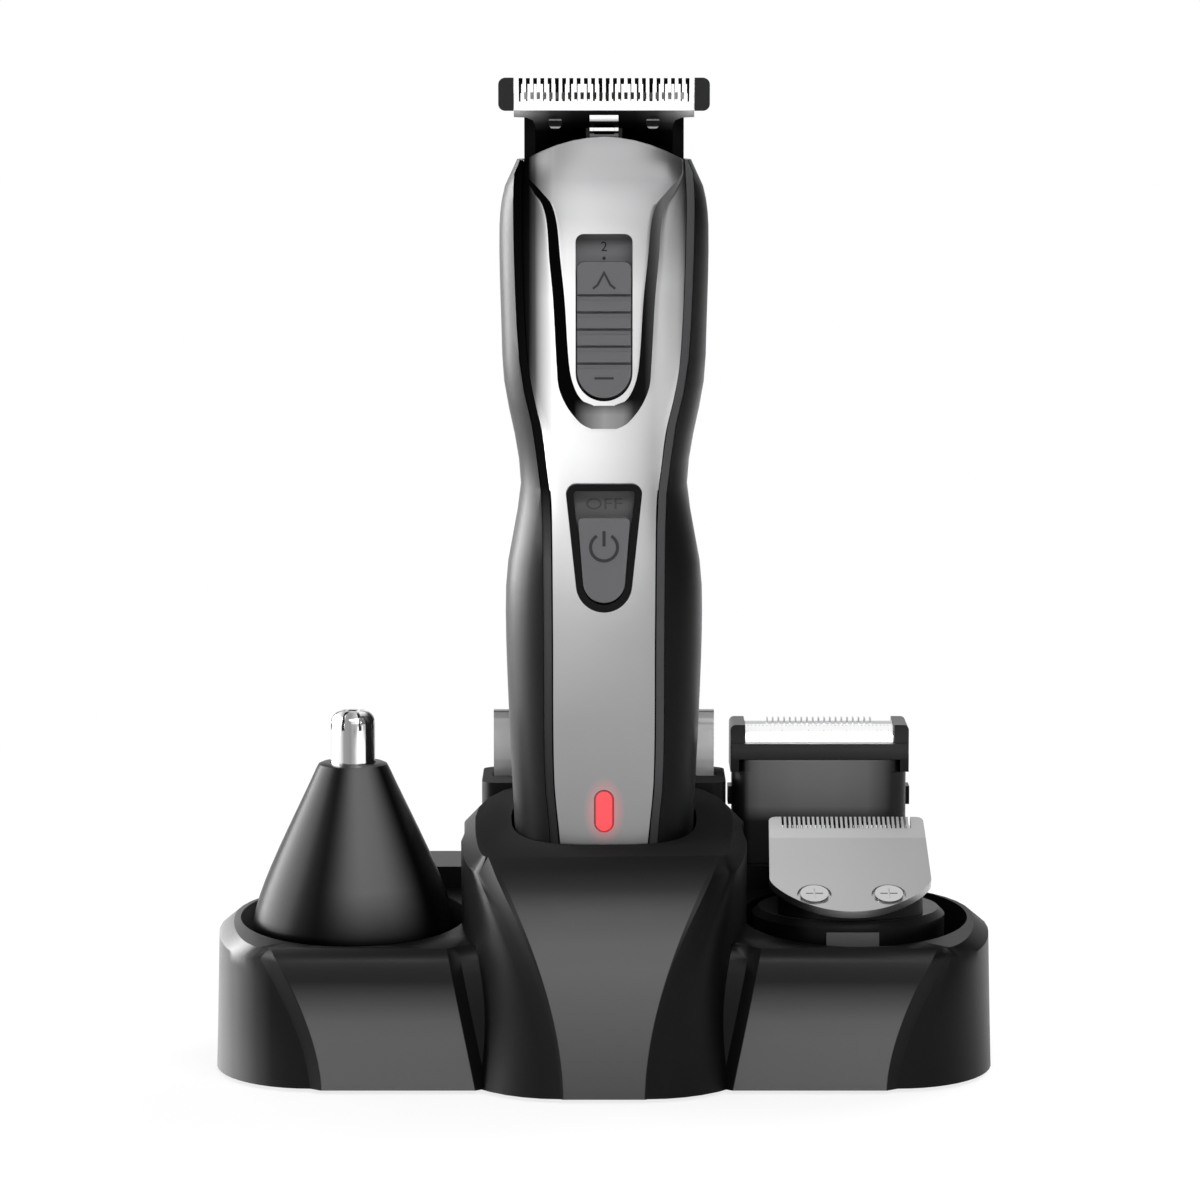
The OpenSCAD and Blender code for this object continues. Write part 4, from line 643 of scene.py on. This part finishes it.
def finishes():
    """The materials by short name."""
    c = bpy.context.scene.trimmer_colours
    made = {}
    moulded = (0.35, 0.008, 0.36, 0.04)
    painted = (0.3, 0.015, 0.55, 0.05)
    printed = (0.2, 0.004, 0.5, 0.05)
    ground = (0.12, 0.003, 0.27, 0.05, (0.05, 1, 1))

    # Satin black ABS, spark-textured mould: soft broad highlights
    made["black"] = finish("moulded_black_abs", c.black, moulded, 0.08, painted_back_light)
    # The same on the wide head's foot, whose front tab is a lighter grey
    tab = [(-18.7, "#464647"), (-18.6, c.black)]
    made["foot"] = finish("head_foot_abs", (1, tab), moulded, 0.1, painted_back_light)
    # The same moulding on the stand, with painted light low down on its front panels and a painted highlight
    # at its left end
    made["stand"] = finish("stand_black_abs", stand_colour, (0.35, 0.008, 0.4, 0.04), 0.12, stand_top)
    # Satin black lacquer on the nose head: a painted grey highlight on the side that faces forwards, dark all
    # round it
    made["cone"] = finish("satin_black_lacquer", cone_colour, (0.5, 0.003, 0.3, 0.03), 0.035, painted_back_light)
    # Polished black ABS: sharper reflections
    made["gloss"] = finish("polished_black_abs", c.gloss, (0.8, 0.002, 0.4, 0.03), 0.12, painted_back_light)
    # Dull black ABS of the cutting head's neck: hardly any highlight
    made["neck"] = finish("dull_black_abs", "#0c0c0d", (0.3, 0.012, 0.6, 0.05), 0.0, painted_back_light)
    # Silver lacquer with fine metal flake; its colour has painted light and shade: darker towards the foot
    # and the right, and a painted red glow round the lens
    made["silver"] = finish("silver_flake_lacquer", silver_colour, (0.25, 0.003, 0.34, 0.03), 0.0, flake_edge)
    # Painted reflection on the tongue's bevel: a dark line that turns to grey where the bevel faces down
    made["bevel"] = finish("bevel_painted_dark", bevel_colour, (0.25, 0.002, 0.4, 0.03), 0.0)
    # Graphite ABS, finely textured: dark grey without a highlight
    made["band"] = finish("graphite_abs", band_colour, (0.3, 0.008, 0.6, 0.04), 0.0)
    # Grey ABS under a soft-touch paint: no sharp reflections
    made["grey"] = finish("grey_soft_touch_abs", c.grey, painted, 0.15)
    # The same paint in the slot, with painted shade darker towards its top
    slot = [(150, "#6c6c6e"), (157.4, "#6a6a6c"), (159.7, "#7c7c7e"), (160.8, "#585859"), (162, "#646465")]
    made["slot"] = finish("slot_soft_touch_abs", (2, slot), painted, 0.12)
    # Switch frame, moulded ABS: black rim, dark grey floor
    floor = [(-14.1, c.gloss), (-13.9, "#525253")]
    made["frame"] = finish("switch_frame_abs", (1, floor), (0.4, 0.006, 0.4, 0.04), 0.1)
    # Pad-printed ink in the marks: dark and dull
    made["mark"] = finish("pad_print_ink", "#2e2e2f", printed, 0.1)
    # Word moulded into the switch's floor, hardly darker than the floor
    made["faint"] = finish("moulded_word_abs", "#414142", printed, 0.1)
    # Ground steel: fine lines along X from the wheel
    made["steel"] = finish("ground_blade_steel", c.steel, ground, 0.5, Metallic=1.0)
    # Blade steel, ground bright along the teeth and blackened below them
    made["two_tone"] = finish("blackened_blade_steel", blade_colour, ground, 0.5, Metallic=1.0)
    # Brushed plate of the wide blade: painted shade a little darker to the right, with a painted highlight on
    # the strip behind the teeth
    brushed = (0.1, 0.002, 0.32, 0.05, (0.05, 1, 1))
    made["plate"] = finish("brushed_blade_steel", plate_colour, brushed, 0.5, Metallic=1.0)
    # Turned screws of the wide blade: plain bright metal
    made["screw"] = finish("turned_screw_steel", "#c6c6c7", (0.2, 0.002, 0.24, 0.04), 0.5, Metallic=1.0)
    # Spring leaf with painted light: bright bands where it is bent towards the light, painted shade between
    leaf = [
        (179.9, "#0c0c0c"), (180.0, "#5a5a5a"), (180.5, "#5a5a5a"), (180.6, "#0a0a0a"), (181.0, "#0a0a0a"),
        (181.1, "#f0f0f0"), (181.6, "#f0f0f0"), (181.7, "#0a0a0a"), (182.8, "#0a0a0a"), (182.9, "#909090"),
        (183.5, "#f4f4f4"), (184.0, "#f4f4f4"), (184.1, "#0c0c0c")]
    made["spring"] = finish("spring_steel", (2, leaf), (0.3, 0.002, 0.2, 0.03), 0.5, Metallic=1.0)
    # Blackened screws, with painted glints at their lower and upper edges
    heads = [
        (181.45, "#161617"), (181.6, "#a0a0a1"), (181.95, "#161617"), (182.9, "#161617"), (183.1, "#787879"),
        (183.3, "#161617")]
    made["oxide_and_glint"] = finish("black_oxide_steel", (2, heads), (0.2, 0.003, 0.35, 0.05), 0.5, Metallic=1.0)
    # Painted shade: a dark plate behind the moving teeth for the shade between the blades, darkest in the
    # middle, where least light comes in
    depth = [(0, "#2c2c2c"), (7, "#383838"), (12, "#727272"), (16, "#a4a4a4")]
    made["gap_shade"] = finish("painted_gap_shade", (0, depth, True), (0.2, 0.003, 0.5, 0.05), 0.0)
    # Black acetal of the drive's small pieces: waxy, with a soft highlight
    made["acetal"] = finish("black_acetal", "#0c0c0d", (0.3, 0.006, 0.4, 0.05), 0.2)
    # Steel of the fine comb on the foil's crest, a little darker than the foil
    made["tick"] = finish("comb_steel", "#a2a2a4", (0.2, 0.002, 0.35, 0.05), 0.5, Metallic=1.0)
    # Polished chrome plate with a painted reflection: bright and dark stripes of the room around the tube
    room = [
        (-50.6, "#f2f2f2"), (-49.9, "#9a9a9b"), (-48.6, "#8e8e8f"), (-47.8, "#b8b8b9"), (-47.2, "#f6f6f6"),
        (-46, "#f2f2f2"), (-45.3, "#707071"), (-43, "#4a4a4b")]
    made["chrome"] = finish("polished_chrome", (0, room), (1.0, 0.001, 0.12, 0.02), 0.5, Metallic=1.0)
    # Thin nickel foil with etched holes, drawn coarser than the real ones so that they show
    made["foil"] = finish("etched_nickel_foil", foil_colour, (0.4, 0.002, 0.3, 0.04), 0.5, Metallic=1.0)
    # Satin black front of the foil head, with a broad soft painted light in the middle and painted shade
    # round it
    made["front"] = finish("satin_black_abs_front", front_colour, (0.35, 0.008, 0.42, 0.04), 0.2, painted_back_light)
    # Moulded cassette of the foil: painted light on its bar and posts, lighter than the body
    posts = [(54, "#0c0c0d"), (56.2, "#101011"), (58.6, "#2c2c2d"), (64, "#1c1c1d")]
    made["cassette"] = finish("cassette_black_abs", (2, posts), (0.3, 0.006, 0.36, 0.04), 0.12, painted_back_light)
    # Red acrylic over the charge light: lit in the middle, dark round its rim
    made["lens"] = finish("red_light_lens", lambda tree: lens_tone(tree, c.lens, "#8c2830"),
                          (0.8, 0.002, 0.25, 0.04), 0.5, lens_glow, IOR=1.49, Emission_Strength=0.75)
    # Smoke polycarbonate, polished mould, with painted shade along its edges, where it looks darker
    edges = [
        (55.8, "#a6a6a6"), (56.4, "#bcbcbc"), (59, c.comb), (64.3, c.comb), (64.6, "#a8a8a8"),
        (65.6, "#a0a0a0"), (65.75, "#585858")]
    made["smoke"] = finish("smoke_polycarbonate", (2, edges), (1.2, 0.003, 0.22, 0.04), 0.5, IOR=1.58,
                           Transmission_Weight=0.4)
    # Gold flash on brass: bright and warm
    made["brass"] = finish("gilded_contact_brass", "#d9b45a", (0.3, 0.002, 0.24, 0.05), 0.5, Metallic=1.0)
    # Moulded rubber: dull dark grey
    made["rubber"] = finish("foot_rubber", "#222324", (0.4, 0.02, 0.75, 0.06), 0.5)
    # Solder mask over copper: green with a soft shine
    made["board"] = finish("circuit_board_lacquer", "#1d5c38", (0.5, 0.01, 0.4, 0.06), 0.5)
    # Undyed nylon: milky
    made["nylon"] = finish("natural_nylon", "#dedbd0", (0.4, 0.01, 0.45, 0.05), 0.5)
    # Shrink film: blue with a tight shine
    made["sleeve"] = finish("cell_shrink_sleeve", "#2f6fb0", (0.8, 0.01, 0.3, 0.05), 0.5)
    return made


class TRIMMER_OT_bodies(bpy.types.Operator):
    """Dress the frame's nodes"""
    bl_idname = "trimmer.bodies"
    bl_label = "Bodies"

    def execute(self, context):
        FINISH.update(finishes())
        looks = {
            "stand": "stand_shell",
            "neck": "head_body",
            "foot": "wide_body",
            "black": "stand_base nose_base foil_button_left foil_button_right chassis",
            "cassette": "foil_frame end_guards",
            "gloss": "rear_shell dc_socket",
            "slot": "slot_plate",
            "frame": "switch_frame",
            "front": "foil_body",
            "cone": "nose_cone",
            "silver": "front_cover",
            "band": "side_bands",
            "grey": "length_thumb power_thumb",
            "two_tone": "fixed_blade moving_blade",
            "spring": "blade_spring",
            "oxide_and_glint": "blade_screws",
            "acetal": "blade_yoke drive_lever",
            "plate": "wide_blade",
            "screw": "wide_screws",
            "steel": "wide_cutter nose_cutter nose_shaft foil_cutter stand_screws chassis_screws lever_pin"
                     " motor motor_shaft battery_tabs",
            "chrome": "nose_guard",
            "foil": "foil_sheet",
            "lens": "light_lens",
            "smoke": "guide_comb",
            "brass": "dock_barrels dock_plungers charge_plates",
            "rubber": "stand_feet",
            "board": "stand_board main_board",
            "nylon": "length_carriage crank wide_follower switch_block",
            "sleeve": "battery",
        }
        for look, names in looks.items():
            for name in names.split():
                dress(name, FINISH[look])
        return {"FINISHED"}


def cover_half(z):
    """Half a row of the front cover: (x, raise, zone) from the middle out; zone 1 is the tongue's bevel."""
    lift = share(SHOULDER + 4, HANDLE + COVER_RISE, z)
    side = line_at(COVER_LINE, z - COVER_RISE * lift)
    near = share(BEVEL_LOW - 10, BEVEL_LOW, z)
    high = share(BEVEL_LOW, TONGUE_LOW, z)
    bevel = line_at(BEVEL_LINE, z)
    tongue = bevel - high * (bevel - line_at(TONGUE_LINE, z))
    inner = (1 - near) * side * 0.4 + near * tongue
    outer = min(side - 0.3, max(inner + 0.05, (1 - near) * side * 0.6 + near * bevel))
    row = [(inner * f, high, 0) for f in (0, 0.2, 0.4, 0.6, 0.8, 0.92)]
    row.append((inner, high * 0.985, 1))
    row += [(inner + (outer - inner) * f, high * (1 - f) ** 1.1, 1) for f in (0.25, 0.5, 0.75)]
    row.append((outer, 0.0, 0))
    row += [(outer + (side - outer) * f, 0.0, 0) for f in (0.2, 0.4, 0.6, 0.8, 0.965)]
    row.append((side, -COVER_EDGE_DROP / TONGUE, 0))
    return row, side, lift


def cover_blank(rows):
    """Mesh of the front cover before its openings; its bevel, edges and sides take the second material."""
    even = np.linspace(COVER_FOOT, HANDLE + COVER_RISE, rows)
    fine = np.linspace(BEVEL_LOW - 1, TONGUE_LOW + 9, TONGUE_ROWS)
    heights = sorted(set(even) | set(fine))
    bm = bmesh.new()
    grids = ([], [])
    for z in heights:
        half, edge, lift = cover_half(z)
        full = [(-x, r, 0) for x, r, _ in half[:0:-1]] + half
        for side, depth in zip(grids, (0.0, COVER_WALL)):
            line = []
            for x, raised, _ in full:
                at = z - COVER_RISE * (x / edge) ** 2 * lift
                y = depth - front_depth(x, at) - (raised * TONGUE if depth == 0 else 0)
                line.append(bm.verts.new((x * MM, y * MM, (DOCK + at) * MM)))
            side.append(line)
    front, back = grids
    zones = [zone for _, _, zone in cover_half(HANDLE / 2)[0]]
    columns = len(front[0])
    middle = columns // 2
    for j in range(len(heights) - 1):
        for i in range(columns - 1):
            face = bm.faces.new((front[j][i], front[j][i + 1], front[j + 1][i + 1], front[j + 1][i]))
            inner = min(abs(i - middle), abs(i + 1 - middle))
            height = (heights[j] + heights[j + 1]) / 2
            sloped = zones[inner] or (height < TONGUE_LOW and inner < zones.index(1))
            # The bevel's dark also goes on the outermost faces low down and on the side walls, as painted
            # shade along the cover's edges
            outermost = i in (0, columns - 2) and height < WAIST
            if outermost or (sloped and height > BEVEL_LOW):
                face.material_index = 1
            bm.faces.new((back[j][i], back[j + 1][i], back[j + 1][i + 1], back[j][i + 1]))
        for i in (0, columns - 1):
            wall = bm.faces.new((front[j][i], front[j + 1][i], back[j + 1][i], back[j][i]))
            wall.material_index = 1
    for j in (0, len(heights) - 1):
        for i in range(columns - 1):
            bm.faces.new((front[j][i], front[j][i + 1], back[j][i + 1], back[j][i]))
    bmesh.ops.recalc_face_normals(bm, faces=bm.faces)
    return mesh_of(bm, "cover")


def cover_openings():
    """Outlines of the slider's slot, the switch's opening and the light's hole."""
    r = SLOT_W / 2
    end = SLOT_TOP + SLOT_ROOM - SLOT_CORNER
    slot = (arc(0, SLOT_LOW + r, r, 180, 360, 24) + arc(r - SLOT_CORNER, end, SLOT_CORNER, 0, 90, 6)
            + arc(SLOT_CORNER - r, end, SLOT_CORNER, 90, 180, 6))
    end = SWITCH_TOP - SWITCH_CORNER
    switch = (arc(0, SWITCH_LOW + SWITCH_FOOT_R, SWITCH_FOOT_R, 187, 353, 24)
              + arc(SWITCH_CORNER_X, end, SWITCH_CORNER, -6, 90, 7)
              + arc(-SWITCH_CORNER_X, end, SWITCH_CORNER, 90, 186, 7))
    lamp = (arc(0, LIGHT_Z + LIGHT_HALF, LIGHT_R, 0, 180, 16)
            + arc(0, LIGHT_Z - LIGHT_HALF, LIGHT_R, 180, 360, 16))
    return slot, switch, lamp


class TRIMMER_OT_cover(bpy.types.Operator):
    """Build the lacquered front cover with its raised tongue"""
    bl_idname = "trimmer.cover"
    bl_label = "Front cover"

    def execute(self, context):
        mesh = cover_blank(context.scene.trimmer_sizes.cover_rows)
        for look in ("silver", "bevel"):
            mesh.materials.append(FINISH[look])
        blank = bpy.data.objects.new("cover", mesh)
        cutters = []
        ahead = -40
        for outline in cover_openings():
            cut = bpy.data.objects.new("cut", prism([(x, z + DOCK) for x, z in outline], ahead, 0))
            context.scene.collection.objects.link(cut)
            cutters.append(cut)
            modifier = blank.modifiers.new("opening", "BOOLEAN")
            modifier.object = cut
            modifier.solver = "EXACT"
        result = settled(blank)
        for cut in cutters:
            bpy.data.objects.remove(cut)
        # The slot's walls take the bevel's black, as painted shade
        near, steep = 0.5, 0.3
        side = SLOT_W / 2 + near
        low, high = DOCK + SLOT_LOW - near, DOCK + SLOT_TOP + 2 * near
        for face in result.polygons:
            x, _, z = face.center / MM
            if abs(x) < side and low < z < high and abs(face.normal.y) < steep:
                face.material_index = 1
        finish_piece("front_cover_lacquered", result, None, "trimmer", ["front_cover"])
        return {"FINISHED"}


def row_tree():
    """Geometry nodes for a straight row of small bars."""
    tree = bpy.data.node_groups.new("row_of_bars", "GeometryNodeTree")
    tree.interface.new_socket("Geometry", in_out="OUTPUT", socket_type="NodeSocketGeometry")
    for name in ("Start", "Step", "Bar"):
        tree.interface.new_socket(name, in_out="INPUT", socket_type="NodeSocketVector")
    tree.interface.new_socket("Count", in_out="INPUT", socket_type="NodeSocketInt")
    given = add(tree, "NodeGroupInput").outputs
    line = add(tree, "GeometryNodeMeshLine", {
        "Count": given["Count"], "Start Location": given["Start"], "Offset": given["Step"]})
    bar = add(tree, "GeometryNodeMeshCube", {"Size": given["Bar"]})
    placed = add(tree, "GeometryNodeInstanceOnPoints", {"Points": line, "Instance": bar})
    add(tree, "NodeGroupOutput", [add(tree, "GeometryNodeRealizeInstances", [placed])])
    return tree


def row_of_bars(**values):
    """Plain mesh of a row of bars from the row tree, without its empty material slot."""
    tree = bpy.data.node_groups.get("row_of_bars") or row_tree()
    holder = bpy.data.objects.new("row", bpy.data.meshes.new("row"))
    modifier = holder.modifiers.new("row", "NODES")
    modifier.node_group = tree
    for item in tree.interface.items_tree:
        if item.in_out == "INPUT":
            modifier[item.identifier] = values[item.name]
    mesh = settled(holder)
    mesh.materials.clear()
    return mesh


class TRIMMER_OT_controls(bpy.types.Operator):
    """Add the slider's ridges and the marks on the slider and the switch"""
    bl_idname = "trimmer.controls"
    bl_label = "Controls"

    def execute(self, context):
        low, high = box_mm("length_thumb")
        face, foot, top = low[1], low[2], high[2]
        count, plain, first, inset = 5, 12.7, 5.78, 0.6
        pitch = (top - foot - plain) / (count - 1)
        ridges = row_of_bars(
            Start=(0, (face - INK) * MM, (foot + first) * MM), Step=(0, 0, pitch * MM), Count=count,
            Bar=((high[0] - low[0] - inset) * MM, MARK_DEPTH * MM, context.scene.trimmer_sizes.ridge))
        finish_piece("slider_ridges", ridges, "grey", "length_slider")

        points = [(-2.1, top - 5.0), (-1.2, top - 4.3), (0, top - 2.0), (1.2, top - 4.3), (2.1, top - 5.0)]
        signs = [points, [(-1.8, foot + 3.7), (1.8, foot + 3.7)]]
        marks = joined("slider_marks", [raised_mark(sign, MARK_LINE, face) for sign in signs])
        finish_piece("slider_marks", marks, "mark", "length_slider")

        plate = box_mm("slot_plate")[0][1]
        number_z, number_size, dot_z, dot_r, dot_height = 159.4, 2.6, 157.3, 0.32, 0.07
        number = lettering("2", number_size, (0, plate - INK, number_z))
        dot = prism(arc(0, dot_z, dot_r, 0, 345, 16), plate - dot_height, plate + MARK_DEPTH)
        marks = joined("slot_marks", [number, dot])
        finish_piece("slot_marks", marks, "mark", "trimmer")

        floor, word_z, word_size, wide = -13.5, 110.9, 3.0, 1.35
        word = lettering("OFF", word_size, (0, floor - INK, word_z))
        word.transform(Matrix.Diagonal((wide, 1, 1, 1)))
        finish_piece("switch_word", word, "faint", "trimmer")

        front = box_mm("power_thumb")[0][1]
        z, r = 103.0, 2.55
        signs = [arc(0, z, r, 122, 418, 40), [(0, z + 0.2), (0, z + 3.1)]]
        marks = joined("power_mark", [raised_mark(sign, POWER_LINE, front) for sign in signs])
        finish_piece("power_mark", marks, "mark", "power_switch")
        return {"FINISHED"}


class TRIMMER_OT_spring(bpy.types.Operator):
    """Add the bent bar across the window of the blade's spring"""
    bl_idname = "trimmer.spring"
    bl_label = "Spring bar"

    def execute(self, context):
        low, high = box_mm("blade_spring")
        half, r, thick = 1.75, 0.3, 0.35
        face, z = low[1], high[2] - 2.65
        bar = arc(half, z, r, -90, 90, 8) + arc(-half, z, r, 90, 270, 8)
        finish_piece("blade_spring_bar", prism(bar, face, face + thick), "steel", "t_head")
        return {"FINISHED"}


class TRIMMER_OT_teeth(bpy.types.Operator):
    """Add the tips of the moving teeth, a dark plate behind them as painted shade, and the lip of the neck"""
    bl_idname = "trimmer.teeth"
    bl_label = "Blade teeth"

    def execute(self, context):
        gaps, tooth, tip, overlap, play, margin = 26, 0.53, 1.7, 0.1, 0.02, 0.4
        low, high = box_mm("moving_blade")
        reach = high[0] - margin
        start = (-reach * MM, (low[1] + high[1]) / 2 * MM, (high[2] + (tip - overlap) / 2) * MM)
        tips = row_of_bars(
            Start=start, Step=(2 * reach / gaps * MM, 0, 0), Count=gaps + 1,
            Bar=(tooth * MM, (high[1] - low[1] - 2 * play) * MM, (tip + overlap) * MM))
        finish_piece("cutter_tooth_tips", tips, "two_tone", "t_cutter")

        # A dark plate behind the moving teeth: painted shade seen through their gaps
        below, above, gap, far = 1.15, 0.15, 0.03, 0.07
        outline = strip(reach, high[2] - below, high[2] + above)
        plate = prism(outline, high[1] + gap, high[1] + far)
        finish_piece("cutter_gap_shade_plate", plate, "gap_shade", "t_cutter")

        low, high = box_mm("head_body")
        half, thick = 16.9, 0.6
        outline = strip(half, high[2] - overlap, box_mm("fixed_blade")[1][2])
        lip = prism(outline, low[1] + play, low[1] + thick)
        finish_piece("neck_lip", lip, "neck", "t_head")
        return {"FINISHED"}


class TRIMMER_OT_foil(bpy.types.Operator):
    """Add the fine comb along the foil's crest"""
    bl_idname = "trimmer.foil"
    bl_label = "Foil crest"

    def execute(self, context):
        count = context.scene.trimmer_sizes.ticks
        low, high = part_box("foil_sheet")
        part, sunk, bar = 0.7, 0.1 * MM, (0.3 * MM, 2.4 * MM, 1.6 * MM)
        run = part * (high[0] - low[0])
        start = ((low[0] + high[0] - run) / 2, (low[1] + high[1]) / 2, high[2] - sunk)
        comb = row_of_bars(Start=start, Step=(run / (count - 1), 0, 0), Count=count, Bar=bar)
        finish_piece("foil_crest_comb", comb, "tick", "foil_head")
        return {"FINISHED"}


def seen(tree, mirrored):
    """Full for rays from the camera or through clear plastic; mirrored is the part for reflections."""
    path = add(tree, "ShaderNodeLightPath").outputs
    glossy = add(tree, MATH, [path["Is Glossy Ray"], mirrored], "MULTIPLY")
    direct = add(tree, MATH, [path["Is Camera Ray"], glossy], "MAXIMUM")
    return add(tree, MATH, [direct, path["Is Transmission Ray"]], "MAXIMUM")


class TRIMMER_OT_stage(bpy.types.Operator):
    """Set the floor, the lights and the camera"""
    bl_idname = "trimmer.stage"
    bl_label = "Stage"

    def execute(self, context):
        sizes = context.scene.trimmer_sizes
        white = (1, 1, 1, 1)
        bpy.ops.mesh.primitive_plane_add(size=6)
        floor = context.object
        floor.name = "floor"
        material, tree, shader = new_material("studio_floor", Base_Color=srgb("#f4f4f4"), Roughness=0.8,
                                              Specular_IOR_Level=0.0)
        place = add(tree, COORD).outputs["Object"]
        reach = add(tree, VECTOR, [place], "LENGTH")
        fade = add(tree, RANGE, [reach, 0.12, 0.45, 0.8, 1.0])
        part = add(tree, MATH, [seen(tree, along(tree, 0, 60, 200, 1.0, 0.06)), fade], "MULTIPLY")
        lit = add(tree, "ShaderNodeEmission", {"Color": white, "Strength": 1.0})
        mixed = add(tree, "ShaderNodeMixShader", [part, shader, lit])
        feed(tree, mixed, tree.nodes["Material Output"].inputs[0])
        floor.data.materials.append(material)

        world = bpy.data.worlds.new("studio")
        context.scene.world = world
        world.use_nodes = True
        tree = world.node_tree
        tree.nodes.clear()
        way = add(tree, AXES, [add(tree, COORD).outputs["Generated"]])
        shade = add(tree, RANGE, [way, 0.12, 0.7, 1.0, 0.06])
        strength = add(tree, RANGE, {0: seen(tree, shade), 3: 0.12, 4: 1.0})
        light = add(tree, "ShaderNodeBackground", {"Color": white, "Strength": strength})
        add(tree, "ShaderNodeOutputWorld", {"Surface": light})

        # Each lamp's place, the height it aims at, its size and power, and if matt and glossy faces take it
        lamps = [
            ("front", (0.35, -1.6, 0.6), 0.09, (1.2, 0.8), 3, True, True),
            ("side", (-1.0, -0.1, 0.5), 0.09, (1.2, 1.0), 9, True, True),
            ("left", (-1.0, 0.3, 0.35), 0.09, (1.2, 1.0), 84, False, True),
            ("top", (0.3, -0.95, 1.0), 0.07, (1.4, 0.4), 16, True, True),
            ("rear_right", (0.9, 1.1, 0.8), 0.09, (1.2, 1.0), 28, True, False),
            ("rear_left", (-0.9, 1.1, 0.6), 0.09, (1.2, 1.0), 9, True, False),
        ]
        for name, place, aim, size, power, matt, glossy in lamps:
            lamp = bpy.data.lights.new(name, "AREA")
            lamp.shape = "RECTANGLE"
            lamp.size, lamp.size_y = size
            lamp.energy = power
            holder = bpy.data.objects.new(name, lamp)
            holder.location = place
            holder.rotation_euler = (Vector((0, 0, aim)) - Vector(place)).to_track_quat("-Z", "Y").to_euler()
            holder.visible_diffuse = matt
            holder.visible_glossy = glossy
            context.scene.collection.objects.link(holder)

        camera = bpy.data.cameras.new("camera")
        camera.lens = CAMERA_LENS
        camera.clip_start = 0.01
        holder = bpy.data.objects.new("camera", camera)
        holder.location = (CAMERA_X, -sizes.camera_distance, sizes.camera_height)
        holder.rotation_euler = (math.radians(90 - CAMERA_DIP), 0, 0)
        context.scene.collection.objects.link(holder)
        context.scene.camera = holder
        context.scene.view_settings.view_transform = "Standard"
        return {"FINISHED"}


class TRIMMER_PT_looks(bpy.types.Panel):
    """Trimmer looks"""
    bl_label = "Trimmer looks"
    bl_space_type = "VIEW_3D"
    bl_region_type = "UI"
    bl_category = "Trimmer"

    def draw(self, context):
        for step in STEPS:
            self.layout.operator(step.bl_idname)


STEPS = (TRIMMER_OT_bodies, TRIMMER_OT_cover, TRIMMER_OT_controls, TRIMMER_OT_spring, TRIMMER_OT_teeth,
         TRIMMER_OT_foil, TRIMMER_OT_stage)
CLASSES = (TrimmerColours, TrimmerSizes) + STEPS + (TRIMMER_PT_looks,)


def register():
    for cls in CLASSES:
        bpy.utils.register_class(cls)
    bpy.types.Scene.trimmer_colours = PointerProperty(type=TrimmerColours)
    bpy.types.Scene.trimmer_sizes = PointerProperty(type=TrimmerSizes)


def unregister():
    del bpy.types.Scene.trimmer_colours
    del bpy.types.Scene.trimmer_sizes
    for cls in reversed(CLASSES):
        bpy.utils.unregister_class(cls)


def main():
    register()
    bpy.ops.trimmer.bodies()
    bpy.ops.trimmer.cover()
    bpy.ops.trimmer.controls()
    bpy.ops.trimmer.spring()
    bpy.ops.trimmer.teeth()
    bpy.ops.trimmer.foil()
    bpy.ops.trimmer.stage()


if __name__ == "__main__":
    main()
